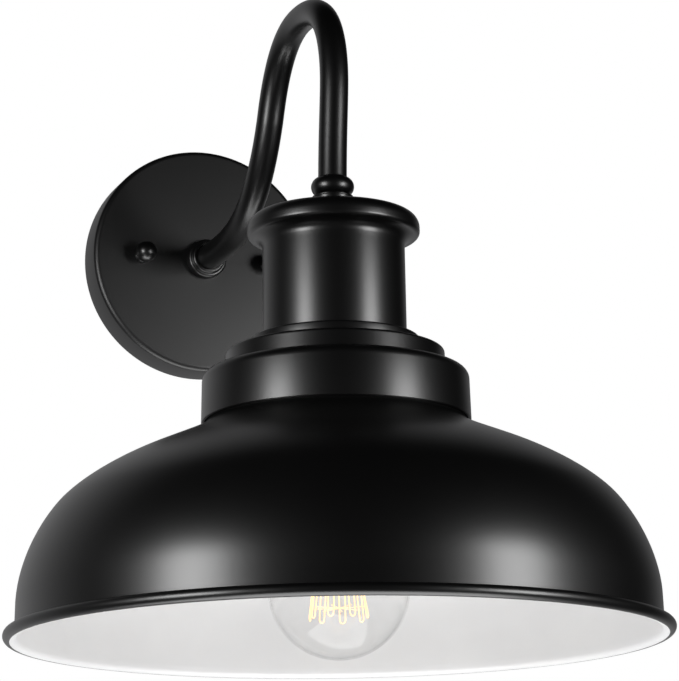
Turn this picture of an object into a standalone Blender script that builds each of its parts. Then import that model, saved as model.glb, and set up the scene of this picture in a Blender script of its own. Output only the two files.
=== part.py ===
"""Outdoor wall lantern: a spun barn shade hung from a gooseneck arm on a round wall plate.

Metres, +Z up.  The origin is the centre of the wall plate's back, on the wall plane Y = 0.
The wall is on the +Y side, the lamp hangs on the -Y side, and +X is to the right as the
plate is faced from the front.
"""
import math

import bmesh
import bpy
from mathutils import Matrix, Vector
from mathutils.geometry import interpolate_bezier

MM = 0.001
GAP = 0.3 * MM                  # air kept between solids that touch on the real lantern

# ---- driving dimensions -------------------------------------------------------------------
# Sizes named _Z are heights above the shade's lower rim; sizes named _OUT are distances
# in front of the wall.
REACH = 221.3 * MM              # wall to the lamp's upright axis
RIM_DROP = 229.6 * MM           # plate centre down to the shade's lower rim
SHEET = 1.2 * MM                # spun and pressed steel

PLATE_RADIUS = 61.3 * MM
PLATE_DEPTH = 19.7 * MM
PLATE_EDGE = 2.8 * MM
SEAL_WIDTH = 7.5 * MM
SEAL_DEPTH = 3.0 * MM
STRAP_LENGTH = 98.0 * MM        # crossbar between the outlet box and the plate
STRAP_WIDTH = 19.0 * MM
STRAP_THICKNESS = 2.0 * MM
BOX_SCREW_OFFSET = 44.0 * MM
STUD_OFFSET = 34.925 * MM       # half of the usual 2 3/4 inch screw spacing
STUD_RADIUS = 2.0 * MM
STUD_TIP_OUT = 27.0 * MM
BALL_RADIUS = 5.5 * MM
GROUND_SCREW_X = 17.0 * MM

TUBE_RADIUS = 6.7 * MM          # gooseneck arm, outside
TUBE_BORE = 5.5 * MM
NIPPLE_RADIUS = 5.0 * MM        # M10 threaded tube
NIPPLE_BORE = 3.9 * MM
NIPPLE_HOLE = NIPPLE_RADIUS + GAP
COLLAR_RADIUS = 10.5 * MM
BEAD_RADIUS = 10.05 * MM
ARM_FOOT_Z = 209.0 * MM

SHADE_WALL = 144.6 * MM         # radius where the bowl meets its rolled lip
LIP_ROLL = 2.6 * MM
LIP_CENTRE = 147.4 * MM
SHADE_NECK = 59.8 * MM
SHADE_TOP_Z = 120.0 * MM
SHADE_HOLE = 20.6 * MM

BAND_RADIUS = 61.65 * MM
BAND_FOOT_Z = 99.9 * MM
BAND_TOP_Z = 123.4 * MM
BAND_EDGE = 5.0 * MM
STEP_RADIUS = 50.2 * MM
STEP_TOP_Z = 132.8 * MM
FOOT_RING_RADIUS = 39.0 * MM
FOOT_RING_TOP_Z = 138.9 * MM

HOUSING_RADIUS = 33.0 * MM
HOUSING_WALL = 1.5 * MM
CAP_RADIUS = 40.1 * MM
CAP_TOP_Z = 198.5 * MM

BULB_RADIUS = 32.0 * MM
BULB_TIP_Z = -8.0 * MM
BULB_CONTACT_Z = 132.0 * MM
BULB_GLASS_WALL = 0.8 * MM
BULB_CREST = 13.1 * MM          # E26 cap over its thread crests
BULB_ROOT = 12.45 * MM
THREAD_PITCH = 25.4 / 7 * MM
CAGE_TOP_RADIUS = 6.5 * MM
CAGE_FOOT_RADIUS = 13.5 * MM

SOCKET_TOP_Z = 150.0 * MM
SOCKET_MOUTH_Z = 105.0 * MM
SOCKET_CEILING_Z = 138.0 * MM
SOCKET_BODY = 18.5 * MM
SOCKET_FLANGE = 24.0 * MM
SOCKET_SKIRT = 20.2 * MM
SOCKET_BORE = 14.8 * MM
SOCKET_SCREW_Z = 141.5 * MM
STIRRUP_TOP_Z = 190.25 * MM     # mid-thickness of the strap that hangs the socket
STIRRUP_HALF = 19.55 * MM
STIRRUP_WIDTH = 12.0 * MM
STIRRUP_THICKNESS = 1.5 * MM

SCREW_HEAD = 3.2 * MM
SCREW_SHANK = 1.6 * MM
WIRE_RADIUS = 1.05 * MM
WIRE_APART = 1.5 * MM           # each lead's distance from the arm's centreline

AROUND = 32                     # facets round the large turned pieces
AROUND_MEDIUM = 20
AROUND_SMALL = 14

LAMP = Vector((0.0, -REACH, -RIM_DROP))     # centre of the circle that the shade's rim makes
WALL = Vector((0.0, 0.0, 0.0))
UPRIGHT = (0.0, 0.0, 0.0)
OUT = (math.radians(90), 0.0, 0.0)          # turns local Z away from the wall
SIDES = (("left", -1), ("right", 1))

# The gooseneck's centreline in the lamp's upright plane: Y, Z, heading in degrees from
# straight up towards the wall, and the length of the handle before and after the knot.
ARM_KNOTS = (
    (-221.3 * MM, -20.6 * MM, 0.0, 0.0 * MM, 24.0 * MM),
    (-225.8 * MM, 35.4 * MM, 0.0, 11.6 * MM, 11.6 * MM),
    (-177.4 * MM, 79.7 * MM, 90.0, 45.0 * MM, 33.0 * MM),
    (-130.3 * MM, 42.0 * MM, 151.6, 7.5 * MM, 59.6 * MM),
    (-20.1 * MM, 0.0 * MM, 90.0, 37.6 * MM, 0.0 * MM),
)

# ---- scene and finishes -------------------------------------------------------------------
for old in list(bpy.data.objects):
    bpy.data.objects.remove(old, do_unlink=True)

parts = bpy.data.collections.new("outdoor_wall_lantern")
bpy.context.scene.collection.children.link(parts)
cutters = bpy.data.collections.new("cutters")
bpy.context.scene.collection.children.link(cutters)

# name, base colour, roughness, metallic
BLACK_COAT = ("black_coat", (0.012, 0.012, 0.013), 0.42, 0.0)
ZINC = ("zinc_plate", (0.62, 0.63, 0.65), 0.35, 1.0)
BRASS = ("brass", (0.72, 0.52, 0.24), 0.32, 1.0)
NICKEL = ("cap_nickel", (0.66, 0.63, 0.58), 0.28, 1.0)
GREEN = ("green_dye", (0.02, 0.22, 0.06), 0.4, 0.6)
FOAM = ("foam", (0.03, 0.03, 0.03), 0.95, 0.0)
PORCELAIN = ("porcelain", (0.86, 0.85, 0.81), 0.22, 0.0)
PHENOLIC = ("phenolic", (0.03, 0.026, 0.024), 0.45, 0.0)
CLEAR_GLASS = ("clear_glass", (0.95, 0.95, 0.95), 0.02, 0.0)
BLACK_GLASS = ("black_glass", (0.01, 0.01, 0.012), 0.15, 0.0)
FILAMENT = ("filament", (0.95, 0.62, 0.25), 0.5, 0.3)
DARK_SLEEVE = ("dark_sleeve", (0.015, 0.015, 0.015), 0.5, 0.0)
LIGHT_SLEEVE = ("light_sleeve", (0.8, 0.79, 0.76), 0.5, 0.0)
COPPER = ("copper", (0.72, 0.36, 0.2), 0.35, 1.0)
NUT_PLASTIC = ("nut_plastic", (0.75, 0.28, 0.03), 0.5, 0.0)


def finish(name, look):
    """A Principled material of one colour."""
    _, colour, roughness, metallic = look
    material = bpy.data.materials.new(name)
    material.use_nodes = True
    shader = material.node_tree.nodes["Principled BSDF"]
    shader.inputs["Base Color"].default_value = (*colour, 1.0)
    shader.inputs["Roughness"].default_value = roughness
    shader.inputs["Metallic"].default_value = metallic
    return material


def place(name, mesh, look, where=WALL, turn=UPRIGHT):
    """Put one named piece with its own material into the parts collection."""
    piece = bpy.data.objects.new(name, mesh)
    parts.objects.link(piece)
    piece.location = where
    piece.rotation_euler = turn
    mesh.materials.append(finish(name + "_" + look[0], look))
    return piece


# ---- shaping helpers ----------------------------------------------------------------------
def arc(centre, radius, start, end, steps):
    """Outline points on an arc; angles in degrees, 0 is outwards and 90 is up."""
    points = []
    for index in range(steps + 1):
        angle = math.radians(start + (end - start) * index / steps)
        points.append((centre[0] + radius * math.cos(angle), centre[1] + radius * math.sin(angle)))
    return points


def sweep(first, first_handle, second_handle, second, steps):
    """Points on a cubic curve between two points with handles."""
    corners = [Vector((x, y, 0.0)) for x, y in (first, first_handle, second_handle, second)]
    return [(point.x, point.y) for point in interpolate_bezier(*corners, steps + 1)]


def inset(skin, depth):
    """An outline moved inwards by a depth; the outline runs down its outer side."""
    moved = []
    for index, (radius, height) in enumerate(skin):
        before = skin[max(index - 1, 0)]
        after = skin[min(index + 1, len(skin) - 1)]
        run = Vector((after[0] - before[0], after[1] - before[1])).normalized()
        moved.append((radius + run.y * depth, height - run.x * depth))
    return moved


def turned(name, outline, look, where=LAMP, turn=UPRIGHT, facets=AROUND, ring=True):
    """Spin an outline of (radius, height) points round local Z.

    The outline goes down the outside first.  A ring's outline is joined back to its start;
    the outline of a piece that has no hole starts and ends on the axis.
    """
    corners = [(radius, 0.0, height) for radius, height in outline]
    sides = [(index, index + 1) for index in range(len(corners) - 1)]
    if ring:
        sides.append((len(corners) - 1, 0))
    mesh = bpy.data.meshes.new(name)
    mesh.from_pydata(corners, sides, [])
    piece = place(name, mesh, look, where, turn)
    spin = piece.modifiers.new("spin", "SCREW")
    spin.steps = facets
    spin.render_steps = facets
    spin.use_merge_vertices = True
    spin.merge_threshold = 0.00001
    spin.use_smooth_shade = True
    return piece


def washer(name, bore, radius, low, high, look, where=LAMP, turn=UPRIGHT, facets=AROUND_SMALL):
    """A plain ring or sleeve between two heights."""
    outline = [(bore, high), (radius, high), (radius, low), (bore, low)]
    return turned(name, outline, look, where, turn, facets)


def to_mesh(name, work):
    """Close a bmesh into a mesh."""
    mesh = bpy.data.meshes.new(name)
    work.to_mesh(mesh)
    work.free()
    return mesh


def tube_mesh(name, points, radius, sides, capped=True):
    """A round tube along points, closed at both ends when it is capped."""
    curve = bpy.data.curves.new(name, "CURVE")
    curve.dimensions = "3D"
    curve.bevel_depth = radius
    curve.bevel_resolution = (sides - 4) // 2
    curve.use_fill_caps = capped
    spline = curve.splines.new("POLY")
    spline.points.add(len(points) - 1)
    for knot, point in zip(spline.points, points):
        knot.co = (*point, 1.0)
    carrier = bpy.data.objects.new(name, curve)
    bpy.context.scene.collection.objects.link(carrier)
    view = bpy.context.evaluated_depsgraph_get()
    swept = bpy.data.meshes.new_from_object(carrier.evaluated_get(view))
    bpy.data.objects.remove(carrier, do_unlink=True)
    work = bmesh.new()
    work.from_mesh(swept)
    bmesh.ops.remove_doubles(work, verts=work.verts, dist=0.00001)
    bmesh.ops.recalc_face_normals(work, faces=work.faces)
    mesh = to_mesh(name, work)
    mesh.shade_smooth()
    return mesh


def smooth_route(knots, per_span=5):
    """Points on a Catmull-Rom curve through the knots."""
    knots = [Vector(knot) for knot in knots]
    padded = [2 * knots[0] - knots[1], *knots, 2 * knots[-1] - knots[-2]]
    points = []
    for before, here, there, after in zip(padded, padded[1:], padded[2:], padded[3:]):
        for index in range(per_span):
            t = index / per_span
            points.append(0.5 * (2 * here + (there - before) * t
                                 + (2 * before - 5 * here + 4 * there - after) * t ** 2
                                 + (3 * here - before - 3 * there + after) * t ** 3))
    points.append(knots[-1])
    return points


def box_mesh(name, size, centre, edge=0.0):
    """A box, with its upright edges rounded when an edge radius is given."""
    work = bmesh.new()
    bmesh.ops.create_cube(work, size=1.0)
    bmesh.ops.scale(work, vec=size, verts=work.verts)
    if edge:
        upright = []
        for side in work.edges:
            if abs(side.verts[0].co.z - side.verts[1].co.z) > size[2] / 2:
                upright.append(side)
        bmesh.ops.bevel(work, geom=upright, offset=edge, segments=3, profile=0.5,
                        affect="EDGES", material=-1)
    bmesh.ops.translate(work, vec=centre, verts=work.verts)
    return to_mesh(name, work)


def rod_mesh(name, radius, depth, centres, axis="Z", sides=AROUND_SMALL):
    """One or more separate rods of one size, parallel to an axis."""
    lean = {"X": Matrix.Rotation(math.pi / 2, 4, "Y"), "Y": Matrix.Rotation(math.pi / 2, 4, "X"),
            "Z": Matrix.Identity(4)}[axis]
    work = bmesh.new()
    for centre in centres:
        bmesh.ops.create_cone(work, cap_ends=True, segments=sides, radius1=radius, radius2=radius,
                              depth=depth, matrix=Matrix.Translation(centre) @ lean)
    return to_mesh(name, work)


def cut(piece, mesh, where=WALL, turn=UPRIGHT):
    """Take a cutter's shape out of a piece."""
    cutter = bpy.data.objects.new(mesh.name, mesh)
    cutters.objects.link(cutter)
    cutter.location = where
    cutter.rotation_euler = turn
    cutter.hide_render = True
    cutter.display_type = "WIRE"
    carve = piece.modifiers.new(mesh.name, "BOOLEAN")
    carve.operation = "DIFFERENCE"
    carve.solver = "EXACT"
    carve.object = cutter


def hex_nut(name, flats, bore, low, high, look, where=LAMP, turn=UPRIGHT):
    """A hexagon nut with a round bore, its axis along local Z."""
    middle = [(0.0, 0.0, (low + high) / 2)]
    nut = place(name, rod_mesh(name, flats / math.sqrt(3), high - low, middle, sides=6), look, where, turn)
    cut(nut, rod_mesh(name + "_bore", bore, 3 * (high - low), middle), where, turn)


def strip(name, path, width, thickness, look):
    """A bent strip of the lamp: a path of (X, height) points, as wide as given along Y."""
    work = bmesh.new()
    corners = [work.verts.new((x, -width / 2, z)) for x, z in path]
    spine = [work.edges.new(pair) for pair in zip(corners, corners[1:])]
    swept = bmesh.ops.extrude_edge_only(work, edges=spine)["geom"]
    moved = [item for item in swept if isinstance(item, bmesh.types.BMVert)]
    bmesh.ops.translate(work, vec=(0.0, width, 0.0), verts=moved)
    bmesh.ops.recalc_face_normals(work, faces=work.faces)
    piece = place(name, to_mesh(name, work), look, LAMP)
    wall = piece.modifiers.new("thickness", "SOLIDIFY")
    wall.thickness = thickness
    wall.offset = 0.0
    wall.use_even_offset = True
    return piece


# ---- wall plate and its fixings -----------------------------------------------------------
def wall_plate():
    """Open-backed pressed cup with a flat face and a small edge radius."""
    corner = (PLATE_RADIUS - GAP - PLATE_EDGE, PLATE_DEPTH - PLATE_EDGE)
    outline = [(NIPPLE_HOLE, PLATE_DEPTH)]
    outline += arc(corner, PLATE_EDGE, 90, 0, 4)
    outline += [(PLATE_RADIUS, 0.0), (PLATE_RADIUS - SHEET, 0.0)]
    outline += arc(corner, PLATE_EDGE - SHEET, 0, 90, 3)
    outline += [(NIPPLE_HOLE, PLATE_DEPTH - SHEET)]
    plate = turned("wall_plate", outline, BLACK_COAT, WALL, OUT)
    holes = [(side * STUD_OFFSET, 0.0, PLATE_DEPTH) for _, side in SIDES]
    cut(plate, rod_mesh("plate_stud_holes", STUD_RADIUS + GAP, 4 * SHEET, holes), WALL, OUT)


def wall_seal():
    """Soft foam ring, flush with the back of the plate's rim."""
    outer = PLATE_RADIUS - SHEET - 2 * GAP
    washer("wall_seal", outer - SEAL_WIDTH, outer, 0.0, SEAL_DEPTH, FOAM, WALL, OUT, AROUND)


def crossbar():
    """Flat strap that screws to the outlet box and carries both studs."""
    size = (STRAP_LENGTH, STRAP_WIDTH, STRAP_THICKNESS)
    blank = box_mesh("crossbar", size, (0.0, 0.0, STRAP_THICKNESS / 2), 3.0 * MM)
    bar = place("crossbar", blank, ZINC, WALL, OUT)
    depth = 3 * STRAP_THICKNESS
    studs = [(side * STUD_OFFSET, 0.0, 0.0) for _, side in SIDES]
    cut(bar, rod_mesh("strap_stud_holes", STUD_RADIUS + GAP, depth, studs), WALL, OUT)
    cut(bar, rod_mesh("strap_middle_hole", 6.0 * MM, depth, [(0.0, 0.0, 0.0)]), WALL, OUT)
    ground = [(GROUND_SCREW_X, 0.0, 0.0)]
    cut(bar, rod_mesh("strap_ground_hole", SCREW_SHANK + GAP, depth, ground), WALL, OUT)
    for word, side in SIDES:
        slot = box_mesh("box_screw_slot_" + word, (6.0 * MM, 4.6 * MM, depth),
                        (side * BOX_SCREW_OFFSET, 0.0, 0.0), 2.0 * MM)
        cut(bar, slot, WALL, OUT)


def studs_and_nuts():
    """Two threaded studs, each with a lock nut on the strap and a ball nut on the plate."""
    lock_low = STRAP_THICKNESS + GAP
    lock_high = lock_low + 3.0 * MM
    lock_flats = 7.0 * MM
    hole = STUD_RADIUS + GAP
    seat = PLATE_DEPTH + GAP
    centre_out = seat + 7.6 * MM
    for word, side in SIDES:
        where = Vector((side * STUD_OFFSET, 0.0, 0.0))
        stud = [(0.0, STUD_TIP_OUT), (STUD_RADIUS - GAP, STUD_TIP_OUT), (STUD_RADIUS, STUD_TIP_OUT - GAP),
                (STUD_RADIUS, GAP), (0.0, GAP)]
        turned("stud_" + word, stud, ZINC, where, OUT, AROUND_SMALL, ring=False)
        hex_nut("stud_nut_" + word, lock_flats, hole, lock_low, lock_high, ZINC, where, OUT)
        ball = [(0.0, centre_out + BALL_RADIUS), *arc((0.0, centre_out), BALL_RADIUS, 90, -42, 7)[1:]]
        ball += [(3.7 * MM, seat + 2.4 * MM), (4.2 * MM, seat + 0.8 * MM), (4.2 * MM, seat)]
        ball += [(hole, seat), (hole, STUD_TIP_OUT + MM), (0.0, STUD_TIP_OUT + 1.5 * MM)]
        turned("ball_nut_" + word, ball, BLACK_COAT, where, OUT, AROUND_SMALL, ring=False)


def ground_screw():
    """Green washer-head screw in the strap."""
    seat = STRAP_THICKNESS + GAP
    outline = [(0.0, seat + 2.6 * MM), (3.0 * MM, seat + 2.6 * MM), (3.0 * MM, seat + 0.9 * MM),
               (4.2 * MM, seat + 0.9 * MM), (4.2 * MM, seat), (SCREW_SHANK, seat),
               (SCREW_SHANK, GAP), (0.0, GAP)]
    where = Vector((GROUND_SCREW_X, 0.0, 0.0))
    turned("ground_screw", outline, GREEN, where, OUT, AROUND_SMALL, ring=False)


def plate_nipple():
    """Threaded tube that joins the arm to the plate, with its washer, nut and collar."""
    washer("plate_nipple", NIPPLE_BORE, NIPPLE_RADIUS, 9.0 * MM, 33.0 * MM, ZINC, WALL, OUT)
    inside = PLATE_DEPTH - SHEET - GAP
    washer("plate_lock_washer", NIPPLE_HOLE, 9.0 * MM, inside - MM, inside, ZINC, WALL, OUT)
    nut_high = inside - MM - GAP
    hex_nut("plate_lock_nut", 15.0 * MM, NIPPLE_HOLE, nut_high - 3.2 * MM, nut_high, ZINC, WALL, OUT)
    seat = PLATE_DEPTH + GAP
    step = COLLAR_RADIUS - 1.7 * MM
    outline = [(TUBE_RADIUS + GAP, seat + 7.4 * MM)]
    outline += arc((step - 1.2 * MM, seat + 6.2 * MM), 1.2 * MM, 90, 0, 3)
    outline += [(step, seat + 5.2 * MM)]
    outline += arc((COLLAR_RADIUS - 1.5 * MM, seat + 3.5 * MM), 1.5 * MM, 80, 0, 3)
    outline += [(COLLAR_RADIUS, seat), (TUBE_RADIUS + GAP, seat)]
    turned("plate_collar", outline, BLACK_COAT, WALL, OUT, AROUND_MEDIUM)


# ---- gooseneck arm ------------------------------------------------------------------------
def arm_points(steps=8):
    """The centreline of the arm from the lamp to the plate, as (Y, Z) points."""
    points = []
    for first, second in zip(ARM_KNOTS, ARM_KNOTS[1:]):
        leaving = math.radians(first[2])
        arriving = math.radians(second[2])
        ahead = (first[4] * math.sin(leaving), first[4] * math.cos(leaving))
        behind = (second[3] * math.sin(arriving), second[3] * math.cos(arriving))
        first_handle = (first[0] + ahead[0], first[1] + ahead[1])
        second_handle = (second[0] - behind[0], second[1] - behind[1])
        points += sweep(first[:2], first_handle, second_handle, second[:2], steps)[:-1]
    points.append(ARM_KNOTS[-1][:2])
    return points


def gooseneck_arm():
    """Bent steel tube, open at both ends for the leads."""
    path = [(0.0, y, z) for y, z in arm_points()]
    tube = tube_mesh("gooseneck_arm", path, TUBE_RADIUS, 12, capped=False)
    arm = place("gooseneck_arm", tube, BLACK_COAT)
    wall = arm.modifiers.new("wall", "SOLIDIFY")
    wall.thickness = TUBE_RADIUS - TUBE_BORE
    wall.offset = -1.0


def arm_end_at_lamp():
    """Bead and spacer that cover the joint between arm and housing, and the threaded tube inside."""
    low = CAP_TOP_Z + GAP
    waist = low + 8.6 * MM
    spacer = [(NIPPLE_HOLE, waist), (9.4 * MM, waist), (9.7 * MM, waist - 0.8 * MM),
              (9.3 * MM, waist - 1.8 * MM), (9.3 * MM, low + 2.5 * MM), (9.9 * MM, low + 0.9 * MM),
              (10.6 * MM, low), (NIPPLE_HOLE, low)]
    turned("neck_spacer", spacer, BLACK_COAT, facets=AROUND_MEDIUM)
    foot = waist + GAP
    socket = TUBE_RADIUS + GAP
    bead = [(socket, foot + 9.0 * MM)]
    bead += arc((5.55 * MM, foot + 4.3 * MM), BEAD_RADIUS - 5.55 * MM, 68, -62, 6)
    bead += [(7.6 * MM, foot), (NIPPLE_HOLE, foot), (NIPPLE_HOLE, ARM_FOOT_Z - GAP),
             (socket, ARM_FOOT_Z - GAP)]
    turned("arm_bead", bead, BLACK_COAT, facets=AROUND_MEDIUM)
    washer("lamp_nipple", NIPPLE_BORE, NIPPLE_RADIUS, 184.0 * MM, 220.0 * MM, ZINC)


# ---- housing, rings and shade -------------------------------------------------------------
def housing():
    """Turned cup with a coved, overhanging cap; the socket hangs inside it."""
    cap_corner = 6.0 * MM
    lower_edge = 2.0 * MM
    cove = 5.1 * MM
    edge_centre = (CAP_RADIUS - lower_edge, CAP_TOP_Z - 8.9 * MM)
    bend_low = CAP_TOP_Z - 6.0 * MM          # where the inner wall starts to turn under the cap
    bend_high = CAP_TOP_Z - 3.0 * MM
    foot = FOOT_RING_TOP_Z + GAP
    inner = HOUSING_RADIUS - HOUSING_WALL
    outline = [(NIPPLE_HOLE, CAP_TOP_Z), (14.0 * MM, CAP_TOP_Z)]
    outline += arc((CAP_RADIUS - cap_corner, CAP_TOP_Z - MM - cap_corner), cap_corner, 88, 0, 4)
    outline += arc(edge_centre, lower_edge, 0, -90, 3)
    outline += arc((edge_centre[0], edge_centre[1] - lower_edge - cove), cove, 90, 180, 4)[1:]
    outline += [(HOUSING_RADIUS + 0.1 * MM, foot), (inner + 0.1 * MM, foot), (inner, bend_low)]
    outline += [(inner - 3.0 * MM, bend_high), (NIPPLE_HOLE, CAP_TOP_Z - HOUSING_WALL)]
    turned("housing", outline, BLACK_COAT)
    inside = CAP_TOP_Z - HOUSING_WALL - GAP
    washer("lamp_lock_washer", NIPPLE_HOLE, 9.0 * MM, inside - 1.3 * MM, inside - 0.3 * MM, ZINC)
    hex_nut("lamp_lock_nut", 15.0 * MM, NIPPLE_HOLE, inside - 4.8 * MM, inside - 1.6 * MM, ZINC)


def foot_ring():
    """Thin ring under the housing."""
    outline = [(28.0 * MM, FOOT_RING_TOP_Z)]
    outline += arc((FOOT_RING_RADIUS - MM, FOOT_RING_TOP_Z - MM), MM, 90, 0, 3)
    outline += [(FOOT_RING_RADIUS, STEP_TOP_Z + GAP), (28.0 * MM, STEP_TOP_Z + GAP)]
    turned("foot_ring", outline, BLACK_COAT)


def shade_holder():
    """Stepped cap that sits over the shade's neck."""
    shoulder = BAND_RADIUS - 0.65 * MM
    inner = SHADE_NECK + 0.35 * MM
    hole = SOCKET_BODY + 2 * GAP
    step_inner = STEP_RADIUS - 1.3 * MM
    outline = [(hole, STEP_TOP_Z)]
    outline += arc((STEP_RADIUS - 1.5 * MM, STEP_TOP_Z - 1.5 * MM), 1.5 * MM, 90, 0, 3)
    outline += [(STEP_RADIUS, BAND_TOP_Z)]
    outline += arc((shoulder - BAND_EDGE, BAND_TOP_Z - BAND_EDGE), BAND_EDGE, 90, 0, 4)
    outline += [(BAND_RADIUS, BAND_FOOT_Z), (BAND_RADIUS - 1.3 * MM, BAND_FOOT_Z)]
    outline += arc((inner - 4.0 * MM, BAND_TOP_Z - SHEET - 4.0 * MM), 4.0 * MM, 0, 90, 2)
    outline += [(step_inner, BAND_TOP_Z - SHEET), (step_inner, STEP_TOP_Z - SHEET),
                (hole, STEP_TOP_Z - SHEET)]
    turned("shade_holder", outline, BLACK_COAT)


def shade_skin():
    """Outer outline of the shade, from its top hole down to the lip."""
    neck_corner = 3.0 * MM
    neck_foot = (SHADE_NECK, 100.0 * MM)
    roof = (90.0 * MM, 84.4 * MM)
    roof_run = Vector((math.cos(math.radians(23.5)), -math.sin(math.radians(23.5))))
    shoulder = (127.2 * MM, 60.0 * MM)
    shoulder_run = Vector((math.cos(math.radians(50.0)), -math.sin(math.radians(50.0))))
    wall = (SHADE_WALL - 0.2 * MM, 15.0 * MM)

    def along(point, run, length):
        return (point[0] + run[0] * length, point[1] + run[1] * length)

    skin = [(SHADE_HOLE, SHADE_TOP_Z)]
    skin += arc((SHADE_NECK - neck_corner, SHADE_TOP_Z - neck_corner), neck_corner, 90, 0, 2)
    neck_handle = (SHADE_NECK + 0.2 * MM, 96.3 * MM)
    roof_in = along(roof, roof_run, -17.0 * MM)
    roof_out = along(roof, roof_run, 15.0 * MM)
    shoulder_in = along(shoulder, shoulder_run, -12.0 * MM)
    shoulder_out = along(shoulder, shoulder_run, 14.0 * MM)
    skin += sweep(neck_foot, neck_handle, roof_in, roof, 5)
    skin += sweep(roof, roof_out, shoulder_in, shoulder, 4)[1:]
    skin += sweep(shoulder, shoulder_out, (wall[0], 32.0 * MM), wall, 4)[1:]
    return skin + [(SHADE_WALL, 5.2 * MM)]


def shade():
    """Spun steel shade with a rolled lip."""
    skin = shade_skin()
    lip = arc((LIP_CENTRE, LIP_ROLL), LIP_ROLL, 130, -90, 6)
    inner_foot = [(SHADE_WALL + 0.4 * MM, 0.4 * MM), (SHADE_WALL - SHEET, 2.6 * MM)]
    turned("shade", skin + lip + inner_foot + inset(skin, SHEET)[::-1], BLACK_COAT)


def shade_ring():
    """Threaded ring that clamps the shade against the socket's flange."""
    high = SHADE_TOP_Z - SHEET - GAP
    low = high - 8.0 * MM
    radius = 27.5 * MM
    outline = [(SOCKET_SKIRT + GAP, high), (radius, high), (radius, low + MM), (radius - MM, low),
               (SOCKET_SKIRT + GAP, low)]
    ring = turned("shade_ring", outline, PHENOLIC)
    count = 10
    grips = []
    for index in range(count):
        angle = 2 * math.pi * (index + 0.5) / count
        grips.append((1.04 * radius * math.cos(angle), 1.04 * radius * math.sin(angle), (low + high) / 2))
    cut(ring, rod_mesh("ring_grips", 2.0 * MM, 2 * (high - low), grips, sides=8), LAMP)


# ---- socket -------------------------------------------------------------------------------
def socket_body():
    """Porcelain lampholder: threaded skirt, clamping flange and closed top."""
    outline = [(0.0, SOCKET_TOP_Z), (SOCKET_BODY - 2 * MM, SOCKET_TOP_Z),
               (SOCKET_BODY, SOCKET_TOP_Z - 2 * MM), (SOCKET_BODY, STEP_TOP_Z - SHEET - GAP),
               (SOCKET_FLANGE, STEP_TOP_Z - SHEET - GAP),
               (SOCKET_FLANGE, SHADE_TOP_Z + GAP), (SOCKET_SKIRT, SHADE_TOP_Z + GAP),
               (SOCKET_SKIRT, SOCKET_MOUTH_Z), (SOCKET_BORE, SOCKET_MOUTH_Z),
               (SOCKET_BORE, SOCKET_CEILING_Z), (0.0, SOCKET_CEILING_Z)]
    body = turned("socket_body", outline, PORCELAIN, facets=AROUND, ring=False)
    for word, side in SIDES:
        seat = box_mesh("terminal_seat_" + word, (10.0 * MM, 7.0 * MM, 11.0 * MM),
                        (0.0, side * 19.5 * MM, SOCKET_SCREW_Z))
        cut(body, seat, LAMP)
    across = [(0.0, side * 13.5 * MM, SOCKET_SCREW_Z) for _, side in SIDES]
    cut(body, rod_mesh("terminal_holes", SCREW_SHANK + GAP, 5.0 * MM, across, "Y", 16), LAMP)
    along = [(side * 16.0 * MM, 0.0, SOCKET_SCREW_Z) for _, side in SIDES]
    cut(body, rod_mesh("stirrup_holes", SCREW_SHANK + GAP, 6.0 * MM, along, "X", 16), LAMP)


def socket_metal():
    """Screw shell, spring tongue and screws of the lampholder."""
    top = SOCKET_TOP_Z - 18.5 * MM
    shell_radius = SOCKET_BORE - 0.5 * MM
    foot = SOCKET_MOUTH_Z + 1.5 * MM
    inner = shell_radius - 0.7 * MM
    outline = [(9.0 * MM, top), (shell_radius, top), (shell_radius, foot), (inner, foot),
               (inner, top - 0.7 * MM), (9.0 * MM, top - 0.7 * MM)]
    turned("socket_shell", outline, BRASS, facets=AROUND_MEDIUM)
    rest = BULB_CONTACT_Z + GAP + 0.25 * MM
    tongue = [(-10.0 * MM, 136.2 * MM), (-5.5 * MM, 136.2 * MM), (-1.5 * MM, rest), (1.5 * MM, rest),
              (3.5 * MM, rest + 0.8 * MM)]
    strip("contact_tongue", tongue, 5.0 * MM, 0.5 * MM, BRASS)
    head = [(0.0, 2.0 * MM), (SCREW_HEAD - 0.7 * MM, 2.0 * MM), (SCREW_HEAD, 1.2 * MM), (SCREW_HEAD, 0.0),
            (SCREW_SHANK, 0.0), (SCREW_SHANK, -4.0 * MM), (0.0, -4.0 * MM)]
    for name, side, look in (("terminal_screw_brass", -1, BRASS), ("terminal_screw_silver", 1, ZINC)):
        where = LAMP + Vector((0.0, side * 16.3 * MM, SOCKET_SCREW_Z))
        lean = (math.radians(-90 * side), 0.0, 0.0)
        turned(name, head, look, where, lean, AROUND_SMALL, ring=False)
    for word, side in SIDES:
        reach = STIRRUP_HALF + STIRRUP_THICKNESS / 2 + GAP
        where = LAMP + Vector((side * reach, 0.0, SOCKET_SCREW_Z))
        lean = (0.0, math.radians(90 * side), 0.0)
        turned("stirrup_screw_" + word, head, ZINC, where, lean, AROUND_SMALL, ring=False)


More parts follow.
